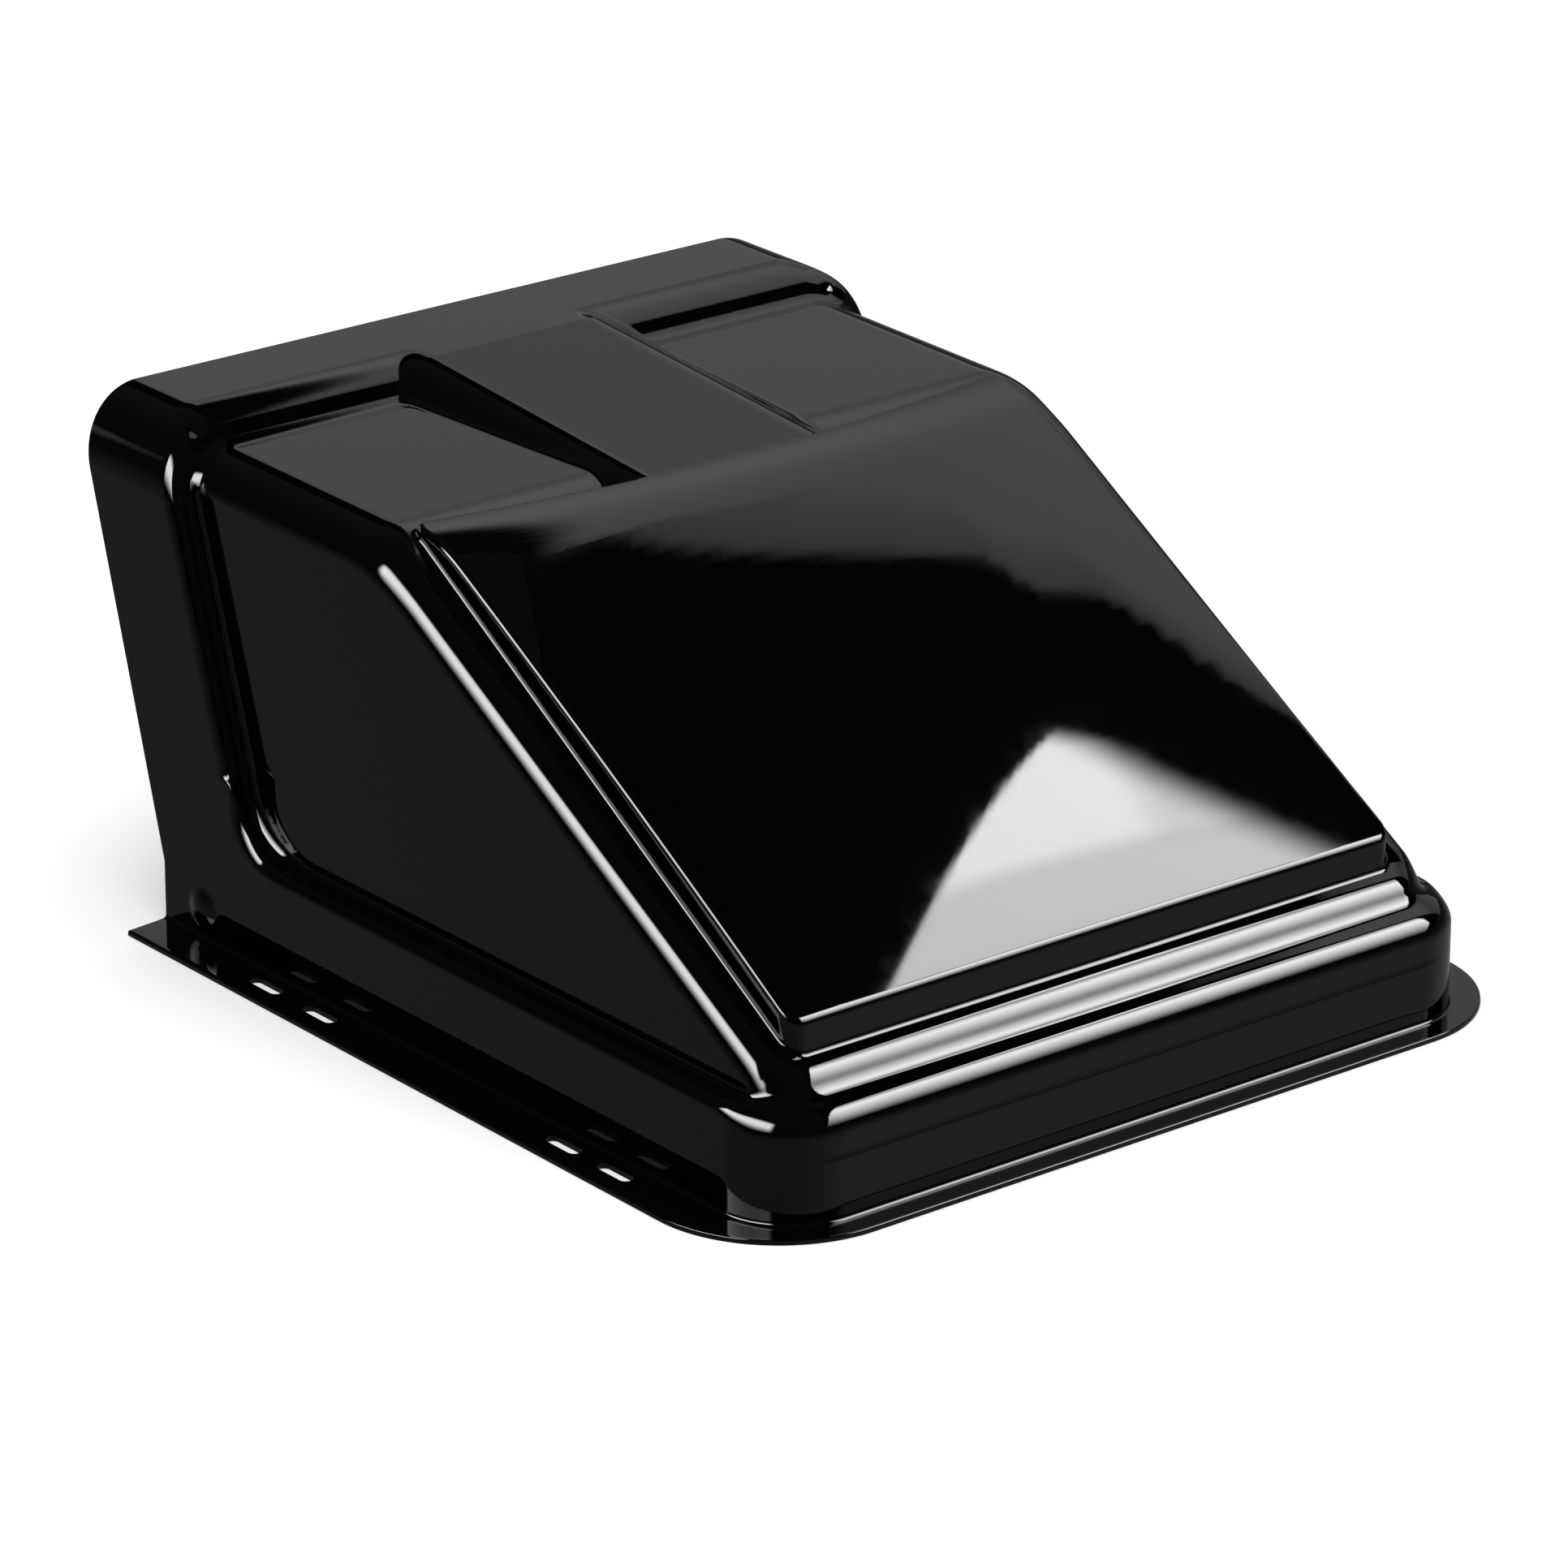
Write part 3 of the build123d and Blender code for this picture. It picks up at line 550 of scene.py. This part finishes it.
# ---- inside the hood: stop ribs, keeper bosses and pivot bosses ----
def in_grille(u, v, n):
    """A point of the closed grille's own plane: across, up, and towards the front."""
    lean = math.radians(GRILLE_LEAN)
    y = DOME_Y + v * math.sin(lean) - n * math.cos(lean)
    z = DOME_Z + v * math.cos(lean) + n * math.sin(lean)
    return np.array([u, y, z])


def reach_wall(start, direction, furthest=90.0):
    """The point half way into the hood's wall, from a point inside it."""
    low, high = 0.0, furthest
    for _ in range(30):
        middle = (low + high) / 2
        point = start + direction * middle
        inside = hood(*point[:, None])[0] < -WALL / 2
        low, high = (middle, high) if inside else (low, middle)
    return start + direction * low


def rib_path():
    """Inner edge of the stop rib with the direction to the wall, up one side and along the top."""
    path = [((-RIB_INNER, v), (-1.0, 0.0)) for v in np.linspace(25, RIB_TOP - 8, 40)]
    for turn in np.radians(np.linspace(0, 90, 9)):
        away = (-math.cos(turn), math.sin(turn))
        path.append(((-RIB_INNER + 8 + 8 * away[0], RIB_TOP - 8 + 8 * away[1]), away))
    path.extend(((u, RIB_TOP), (0.0, 1.0)) for u in np.linspace(-RIB_INNER + 10, -LATCH_U - KEEPER_GAP, 12))
    return path


def rib(path, name):
    points, faces = [], []
    up = in_grille(0, 1, 0) - in_grille(0, 0, 0)
    for (u, v), (du, dv) in path:
        direction = np.array([du, 0, 0]) + up * dv
        near, far = in_grille(u, v, RIB_N), in_grille(u, v, RIB_N + WALL)
        points.extend((near, far, reach_wall(far, direction), reach_wall(near, direction)))
    for row in range(len(path) - 1):
        for side in range(4):
            a, b = row * 4 + side, row * 4 + (side + 1) % 4
            faces.append([a, b, b + 4, a + 4])
    last = 4 * (len(path) - 1)
    faces.extend(([3, 2, 1, 0], [last, last + 1, last + 2, last + 3]))
    return new_object(name, to_frame(points), faces)


def keeper_boss(side):
    """The block under the roof that a keeper is screwed to."""
    count = 6
    points, faces = [], []
    up = in_grille(0, 1, 0) - in_grille(0, 0, 0)
    for n in np.linspace(11.6, 34, count):
        for u in np.linspace(LATCH_U - 18, LATCH_U + 18, count):
            foot = in_grille(side * u, 272, n)
            points.extend((foot, reach_wall(foot, up)))
    for row in range(count - 1):
        for column in range(count - 1):
            a = 2 * (row * count + column)
            faces.append([a, a + 2, a + 2 + 2 * count, a + 2 * count])
            faces.append([a + 1, a + 1 + 2 * count, a + 3 + 2 * count, a + 3])
    rim = [(0, i) for i in range(count)] + [(i, count - 1) for i in range(1, count)]
    rim += [(count - 1, i) for i in range(count - 2, -1, -1)] + [(i, 0) for i in range(count - 2, 0, -1)]
    for (r0, c0), (r1, c1) in zip(rim, rim[1:] + rim[:1]):
        a, b = 2 * (r0 * count + c0), 2 * (r1 * count + c1)
        faces.append([a, b, b + 1, a + 1])
    return new_object("keeper_boss", to_frame(points), faces)


def pivot_boss(side):
    """The ring inside the wall that holds a pivot bush."""
    profile = ((243.3, 6.6), (243.3, 9.7), (243.6, 10.3), (244.0, 10.5), (249.8, 10.5), (249.8, 6.6))
    count = 64
    points, faces = [], []
    for turn in np.linspace(0, 2 * np.pi, count, endpoint=False):
        for x, radius in profile:
            points.append((side * x, DOME_Y + radius * math.cos(turn), DOME_Z + radius * math.sin(turn)))
    for i in range(count):
        for j in range(len(profile)):
            a, b = i * len(profile) + j, i * len(profile) + (j + 1) % len(profile)
            c, d = (b + len(profile)) % (count * len(profile)), (a + len(profile)) % (count * len(profile))
            faces.append([a, b, c, d])
    return new_object("pivot_boss", to_frame(points), faces)


def inner_fittings():
    """Every moulded feature inside the hood, as one object of closed solids."""
    side = rib_path()
    mirrored = [((-u, v), (-du, dv)) for (u, v), (du, dv) in side]
    reach = LATCH_U - KEEPER_GAP
    middle = [((u, RIB_TOP), (0.0, 1.0)) for u in np.linspace(-reach, reach, 30)]
    parts = [rib(side, "rib"), rib(mirrored, "rib"), rib(middle, "rib")]
    parts += [keeper_boss(s) for s in (-1, 1)] + [pivot_boss(s) for s in (-1, 1)]
    joined = bmesh.new()
    for part in parts:
        joined.from_mesh(part.data)
        bpy.data.objects.remove(part)
    bmesh.ops.recalc_face_normals(joined, faces=joined.faces[:])
    obj = new_object("hood_fittings", [], [])
    joined.to_mesh(obj.data)
    joined.free()
    for polygon in obj.data.polygons:
        polygon.use_smooth = True
    return obj


# ---- insect screen ----
def screen_wire(start, end, radius, wave, pitch, phase):
    """A wire's rings from start to end; it goes over and under the ones it crosses."""
    start, end = np.array(start, float), np.array(end, float)
    length = np.linalg.norm(end - start)
    along = (end - start) / length
    side = np.array([-along[1], along[0], 0.0])
    up = np.array([0, 0, 1.0])
    count = max(2, int(round(length / pitch * 2)) + 1)
    rings = []
    for step in np.linspace(0, length, count):
        centre = start + along * step + up * wave * math.cos(math.pi * step / pitch + phase)
        for turn in (0, 0.5 * math.pi, math.pi, 1.5 * math.pi):
            rings.append(centre + radius * (side * math.cos(turn) + up * math.sin(turn)))
    faces = [[3, 2, 1, 0], [4 * count - 4, 4 * count - 3, 4 * count - 2, 4 * count - 1]]
    for ring in range(count - 1):
        for i in range(4):
            a, b = 4 * ring + i, 4 * ring + (i + 1) % 4
            faces.append([a, b, b + 4, a + 4])
    return rings, faces


def insect_screen():
    """Woven wires across the rails' opening, in place of the CAD's sheet."""
    low, high = (np.array(corner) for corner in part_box("insect_screen"))
    half = high[0] / MM
    lean = math.radians(GRILLE_LEAN)
    height = (high[2] - low[2]) / MM / math.cos(lean)
    middle = (low + high) / 2 / MM + (0, LENGTH / 2, 0)
    pitch = 3.0
    radius, wave = 0.13, 0.1
    half, reach = half - 0.5, height / 2 - 0.6
    points, faces = [], []
    across = np.arange(-half + pitch / 2, half, pitch)
    upward = np.arange(-reach + pitch / 2, reach, pitch)
    runs = [((-half, v), (half, v), index) for index, v in enumerate(upward)]
    runs += [((u, -reach), (u, reach), index + 1) for index, u in enumerate(across)]
    for start, end, index in runs:
        rings, sides = screen_wire((*start, 0), (*end, 0), radius, wave, pitch, math.pi * index)
        faces.extend([i + len(points) for i in face] for face in sides)
        points.extend(rings)
    u, v, n = np.array(points).T
    y = middle[1] + v * math.sin(lean) - n * math.cos(lean)
    z = middle[2] + v * math.cos(lean) + n * math.sin(lean)
    wires = new_object("screen_wires", to_frame(np.stack([u, y, z], axis=1)), faces)
    finish = brushed_metal("screen_mesh", (0.16, 0.16, 0.165), 0.4, (1, 4, 1))
    wires.data.materials.append(finish)
    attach(wires, body_of(frame["nodes"]["insect_screen"])[0])
    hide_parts("insect_screen")


# ---- stage, light and camera ----
def camera():
    """Fitted to the photograph's view of the hood."""
    target = Vector(to_frame([0, 300, 130]))
    azimuth, elevation, roll = math.radians(-38.9), math.radians(21.4), math.radians(0.2)
    back = Vector(
        (
            math.sin(azimuth) * math.cos(elevation),
            -math.cos(azimuth) * math.cos(elevation),
            math.sin(elevation),
        )
    )
    right = (-back).cross(Vector((0, 0, 1))).normalized()
    up = right.cross(-back)
    turned_right = right * math.cos(roll) + up * math.sin(roll)
    turned_up = -right * math.sin(roll) + up * math.cos(roll)
    data = bpy.data.cameras.new("camera")
    data.sensor_width = 36
    data.lens = 179.88
    data.shift_x = -0.01796
    data.shift_y = -0.02277
    data.clip_end = 200
    obj = bpy.data.objects.new("camera", data)
    rotation = Matrix((turned_right, turned_up, back)).transposed().to_4x4()
    obj.matrix_world = Matrix.Translation(target + back * 4.3713) @ rotation
    bpy.context.scene.collection.objects.link(obj)
    bpy.context.scene.camera = obj


# ---- materials ----
class Finish:
    """Builds one procedural material: its colour, roughness and surface relief vary with noise."""

    def __init__(self, name, color, roughness, specular=0.5, metallic=0.0):
        self.material = bpy.data.materials.new(name)
        self.material.use_nodes = True
        self.tree = self.material.node_tree
        self.shader = self.tree.nodes["Principled BSDF"]
        self.color = color
        self.roughness = roughness
        self.set("Base Color", (*color, 1))
        self.set("Roughness", roughness)
        self.set("Specular IOR Level", specular)
        self.set("Metallic", metallic)
        self.place = self.node("ShaderNodeNewGeometry").outputs["Position"]
        self.relief = None

    def set(self, socket, value):
        self.shader.inputs[socket].default_value = value

    def node(self, kind, **values):
        node = self.tree.nodes.new(kind)
        for name, value in values.items():
            node.inputs[name.replace("_", " ")].default_value = value
        return node

    def link(self, source, target):
        self.tree.links.new(source, target)

    def noise(self, scale, detail=3.0, stretch=(1, 1, 1)):
        place = self.node("ShaderNodeMapping", Scale=stretch)
        self.link(self.place, place.inputs["Vector"])
        noise = self.node("ShaderNodeTexNoise", Scale=scale, Detail=detail)
        self.link(place.outputs[0], noise.inputs["Vector"])
        return noise.outputs["Fac"]

    def remap(self, value, low, high, out_low, out_high):
        remap = self.node("ShaderNodeMapRange", From_Min=low, From_Max=high, To_Min=out_low, To_Max=out_high)
        self.link(value, remap.inputs["Value"])
        return remap.outputs[0]

    def rougher(self, value, most):
        """Roughness rises to `most` where the pattern is strong."""
        self.link(self.remap(value, 0.4, 0.75, self.roughness, most), self.shader.inputs["Roughness"])
        return self

    def tinted(self, value, other):
        mix = self.node("ShaderNodeMix")
        mix.data_type = "RGBA"
        mix.inputs["A"].default_value = (*self.color, 1)
        mix.inputs["B"].default_value = (*other, 1)
        self.link(self.remap(value, 0.4, 0.7, 0, 1), mix.inputs["Factor"])
        self.link(mix.outputs["Result"], self.shader.inputs["Base Color"])
        return self

    def bumped(self, value, distance, strength=1.0):
        bump = self.node("ShaderNodeBump", Strength=strength, Distance=distance)
        self.link(value, bump.inputs["Height"])
        if self.relief is not None:
            self.link(self.relief, bump.inputs["Normal"])
        self.relief = bump.outputs[0]
        self.link(self.relief, self.shader.inputs["Normal"])
        return self


def hood_plastic():
    """Gloss-black moulding: a faint flow waviness and a dusting of finer marks."""
    finish = Finish("hood_plastic", (0.0008, 0.0008, 0.0008), 0.015)
    finish.rougher(finish.noise(60, 5), 0.035)
    finish.bumped(finish.noise(9, 1), 0.00001)
    return finish.material


def satin_plastic(name, color, roughness, grain):
    """A grained moulding."""
    finish = Finish(name, color, roughness, 0.4)
    finish.rougher(finish.noise(70, 4), roughness + 0.12)
    finish.tinted(finish.noise(25, 4), tuple(1.35 * c for c in color))
    finish.bumped(finish.noise(grain, 3), 0.0001, 0.6)
    return finish.material


def brushed_metal(name, color, roughness, stretch):
    finish = Finish(name, color, roughness, 0.5, 1.0)
    finish.rougher(finish.noise(40, 4), roughness + 0.15)
    finish.tinted(finish.noise(30, 3), tuple(0.8 * c for c in color))
    finish.bumped(finish.noise(120, 4, stretch), 0.00006, 0.5)
    return finish.material


def soft_rubber(name, color, roughness, grain):
    finish = Finish(name, color, roughness, 0.25)
    finish.rougher(finish.noise(90, 3), min(1.0, roughness + 0.1))
    finish.tinted(finish.noise(50, 5), tuple(1.6 * c for c in color))
    finish.bumped(finish.noise(grain, 5), 0.00025, 0.8)
    return finish.material


def dress_nodes():
    """A finish for every CAD node, by its name."""
    grille = satin_plastic("grille_plastic", (0.006, 0.006, 0.0065), 0.36, 2600)
    knob = satin_plastic("knob_plastic", (0.009, 0.009, 0.01), 0.3, 1800)
    nylon = satin_plastic("nylon", (0.62, 0.6, 0.54), 0.42, 1500)
    stainless = brushed_metal("stainless", (0.58, 0.57, 0.55), 0.24, (1, 14, 1))
    aluminium = brushed_metal("aluminium", (0.72, 0.73, 0.74), 0.32, (0.15, 6, 6))
    spline = soft_rubber("spline_rubber", (0.012, 0.012, 0.012), 0.6, 900)
    foam = soft_rubber("foam_seal", (0.02, 0.02, 0.021), 0.85, 700)
    finishes = (
        ("grille_frame", grille), ("louvre", grille), ("latch_knob", knob), ("pivot_bush", nylon),
        ("screen_rail", aluminium), ("screen_spline", spline), ("side_seal", foam),
        ("top_seal", foam), ("", stainless),
    )
    for name, obj in frame["nodes"].items():
        finish = next(material for start, material in finishes if name.startswith(start))
        obj.data.materials.clear()
        obj.data.materials.append(finish)


def plain_material(name, color, roughness, specular=0.5):
    return Finish(name, color, roughness, specular).material


def floor():
    mesh = bpy.data.meshes.new("floor")
    size = 40
    corners = [(-size, -size, 0), (size, -size, 0), (size, size, 0), (-size, size, 0)]
    mesh.from_pydata(corners, [], [(0, 1, 2, 3)])
    obj = bpy.data.objects.new("floor", mesh)
    obj.data.materials.append(plain_material("floor", (0.9, 0.9, 0.9), 1.0, 0.0))
    bpy.context.scene.collection.objects.link(obj)
    obj.visible_glossy = False


def card_material():
    """Light card whose brightness is stored on its mesh."""
    material = bpy.data.materials.new("light_card")
    material.use_nodes = True
    nodes, links = material.node_tree.nodes, material.node_tree.links
    nodes.clear()
    glow = nodes.new("ShaderNodeAttribute")
    glow.attribute_name = "glow"
    emission = nodes.new("ShaderNodeEmission")
    output = nodes.new("ShaderNodeOutputMaterial")
    links.new(glow.outputs["Fac"], emission.inputs["Strength"])
    links.new(emission.outputs[0], output.inputs["Surface"])
    material.cycles.emission_sampling = "NONE"
    return material


def light_card(name, corner, across, along, us, vs, material, glow):
    """A flat card from a corner along two directions; glow(points) gives its brightness."""
    u, v = (grid.ravel() for grid in np.meshgrid(us, vs))
    points = np.array(corner) + np.outer(u, across) + np.outer(v, along)
    count = len(us)
    faces = []
    for row in range(len(vs) - 1):
        for column in range(count - 1):
            first = row * count + column
            faces.append((first, first + 1, first + 1 + count, first + count))
    mesh = bpy.data.meshes.new(name)
    mesh.from_pydata(points.tolist(), [], faces)
    strength = mesh.attributes.new("glow", "FLOAT", "POINT")
    strength.data.foreach_set("value", glow(points).astype(np.float32))
    mesh.materials.append(material)
    obj = bpy.data.objects.new(name, mesh)
    bpy.context.scene.collection.objects.link(obj)
    obj.visible_camera = False
    obj.visible_diffuse = False
    obj.visible_shadow = False
    return obj


def lights():
    world = bpy.data.worlds.new("world")
    bpy.context.scene.world = world
    world.use_nodes = True
    nodes, links = world.node_tree.nodes, world.node_tree.links
    background = nodes["Background"]
    coordinates = nodes.new("ShaderNodeTexCoord")
    split = nodes.new("ShaderNodeSeparateXYZ")
    ramp = nodes.new("ShaderNodeMapRange")
    ramp.inputs["From Min"].default_value = -0.3
    ramp.inputs["From Max"].default_value = 0.1
    ramp.inputs["To Min"].default_value = 1.0
    ramp.inputs["To Max"].default_value = 0.15
    side = nodes.new("ShaderNodeMapRange")
    side.inputs["From Min"].default_value = -0.6
    side.inputs["From Max"].default_value = 0.6
    side.inputs["To Min"].default_value = 0.13
    side.inputs["To Max"].default_value = 0.26
    both = nodes.new("ShaderNodeMath")
    both.operation = "MULTIPLY"
    links.new(split.outputs["X"], side.inputs["Value"])
    links.new(side.outputs[0], both.inputs[0])
    links.new(ramp.outputs[0], both.inputs[1])
    links.new(coordinates.outputs["Generated"], split.inputs[0])
    links.new(split.outputs["Z"], ramp.inputs["Value"])
    links.new(both.outputs[0], background.inputs["Strength"])
    background.inputs["Color"].default_value = (1, 1, 1, 1)
    overhead = bpy.data.lights.new("overhead", "AREA")
    overhead.shape = "RECTANGLE"
    overhead.size, overhead.size_y = 9, 9
    overhead.energy = 850
    lamp = bpy.data.objects.new("overhead", overhead)
    lamp.location = (0, 0, 6)
    lamp.visible_glossy = False
    lamp.visible_camera = False
    bpy.context.scene.collection.objects.link(lamp)
    cards = card_material()

    flat = ((1, 0, 0), (0, 1, 0))
    near = spaced((0.5, 1.2, 0.1), (1.2, 2.4, 0.008), (2.4, 7.0, 0.15))
    toward = spaced((-7, -0.6, 0.15), (-0.6, -0.05, 0.008))
    light_card("front_right", (0, 0, CEILING), *flat, near, toward, cards, ceiling_glow)
    near = spaced((1.1, 2.3, 0.02), (2.3, 9, 0.2))
    away = spaced((-0.05, 0.5, 0.014), (0.5, 9, 0.2))
    light_card("rear_right", (0, 0, CEILING), *flat, near, away, cards, ceiling_glow)
    even = np.linspace(0, 1, 60)
    light_card("behind", (-2.8, 3.8, 0.25), (3.4, 0, 0), (0, 0, 1.7), even, even, cards, behind_glow)
    light_card("left", (-2.3, -1.4, 0.2), (0.1, 2.9, 0), (0, 0, 2.55), even, even, cards, left_glow)


CEILING = 2.4
FRONT_TIP = (1.805, -0.097)        # the front card narrows to a tip
FRONT_LEFT_MOST, FRONT_LEFT_BOW, FRONT_LEFT_TURN = 0.8, 0.46, 0.25
FRONT_RIGHT_TIP_SLOPE = 2.27
FRONT_RIGHT_NEAR = (0.038, 1.07, 0.09)
FRONT_RIGHT_FAR = (1.71, 0.36)
FRONT_FAR_END, FRONT_RISE, FRONT_MOST = -5.6, 0.88, 17.0
FRONT_GAP, FRONT_GAP_DEPTH = (-0.98, -0.45), 0.7
FRONT_NEAR_STEPS = ((-0.45, -0.335, 5.4), (-0.28, -0.25, 4.1))
REAR_EDGE, REAR_EDGE_CURL, REAR_EDGE_START, REAR_EDGE_TURN = 0.148, 0.107, 1.25, 0.22
REAR_EDGE_STEPS = ((1.84, 1.9, 0.055), (1.97, 2.15, 0.24))
REAR_EDGE_TAIL = 0.0085
LEFT_MOST = 17.0


def front_edges(y):
    """The front card's left and right edges: they part from the tip along two curves."""
    away = np.maximum(FRONT_TIP[1] - y, 0)
    left = FRONT_TIP[0] - FRONT_LEFT_BOW * np.log1p(away / FRONT_LEFT_TURN)
    start, slope, bend = FRONT_RIGHT_NEAR
    near = start + slope * away + bend * away**2
    far = FRONT_RIGHT_FAR[0] + FRONT_RIGHT_FAR[1] * away
    right = FRONT_TIP[0] + np.minimum(np.minimum(FRONT_RIGHT_TIP_SLOPE * away, near), far)
    return np.maximum(left, FRONT_LEFT_MOST), right


def front_level(y):
    """Rises to a wide bright end, dims across a gap and steps up again towards the tip."""
    level = np.minimum(FRONT_RISE * np.maximum(y - FRONT_FAR_END, 0) ** 2, FRONT_MOST)
    level = level * (1 - FRONT_GAP_DEPTH * smooth_step(*FRONT_GAP, y))
    for start, end, step in FRONT_NEAR_STEPS:
        level = level + step * smooth_step(start, end, y)
    return level


def front_glow(p):
    x, y = p[:, 0], p[:, 1]
    left, right = front_edges(y)
    dimmer = 3.5 * smooth_step(-0.29, -0.24, y) * smooth_step(1.83, 1.9, x)
    edges = smooth_step(0, 0.012, x - left) * smooth_step(0, 0.1, right - x)
    return (front_level(y) - dimmer) * edges * smooth_step(-0.095, -0.11, y)


def left_glow(p):
    level = LEFT_MOST * smooth_step(0.5, 1.6, p[:, 2]) * smooth_step(2.75, 2.0, p[:, 2])
    return level * smooth_step(-1.4, -1.0, p[:, 1]) * smooth_step(1.5, 1.25, p[:, 1])


def rear_edge(x):
    """Where the rear card begins: a curl, then two steps towards the front, then a slow tail."""
    edge = REAR_EDGE + REAR_EDGE_CURL * np.exp(-np.maximum(x - REAR_EDGE_START, 0) / REAR_EDGE_TURN)
    for start, end, step in REAR_EDGE_STEPS:
        edge = edge - step * smooth_step(start, end, x)
    return edge - REAR_EDGE_TAIL * np.maximum(x - REAR_EDGE_STEPS[-1][1], 0)


def behind_glow(p):
    sides = smooth_step(-2.8, -2.2, p[:, 0]) * smooth_step(0.6, 0.0, p[:, 0])
    return 1.6 * sides * smooth_step(0.25, 0.6, p[:, 2]) * smooth_step(1.95, 1.5, p[:, 2])


def rear_glow(p):
    beyond = p[:, 1] - rear_edge(p[:, 0])
    distance = np.hypot(p[:, 0], p[:, 1])
    level = 0.38 + 0.55 * smooth_step(4.5, 2.2, distance)
    left = p[:, 0] - (1.1 + (p[:, 1] - 0.25) * 0.27)
    level = level * (0.6 + 0.4 * smooth_step(0, 0.15, beyond))
    return level * smooth_step(0, 0.02, beyond) * smooth_step(0, 0.1, left)


def ceiling_glow(p):
    """Both ceiling cards show the whole pattern; they meet at an edge and never overlap."""
    return front_glow(p) + rear_glow(p)


def main():
    points, faces, normals = hood_shell()
    skin = new_object("hood_skin", to_frame(points), faces, normals)
    points, faces = base_shell()
    base = new_object("hood_base", to_frame(points), faces)
    fix_normals(base)
    cut_slots(base)
    fittings = inner_fittings()
    for piece in (base, fittings):
        for polygon in piece.data.polygons:
            polygon.use_smooth = True
        piece.data.set_sharp_from_angle(angle=math.radians(35))
    gloss = hood_plastic()
    for piece in (skin, base, fittings):
        piece.data.materials.append(gloss)
        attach(piece, "cover")
    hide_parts("cover_shell")
    dress_nodes()
    insect_screen()
    camera()
    floor()
    lights()
    bpy.context.scene.view_settings.view_transform = "Standard"


main()
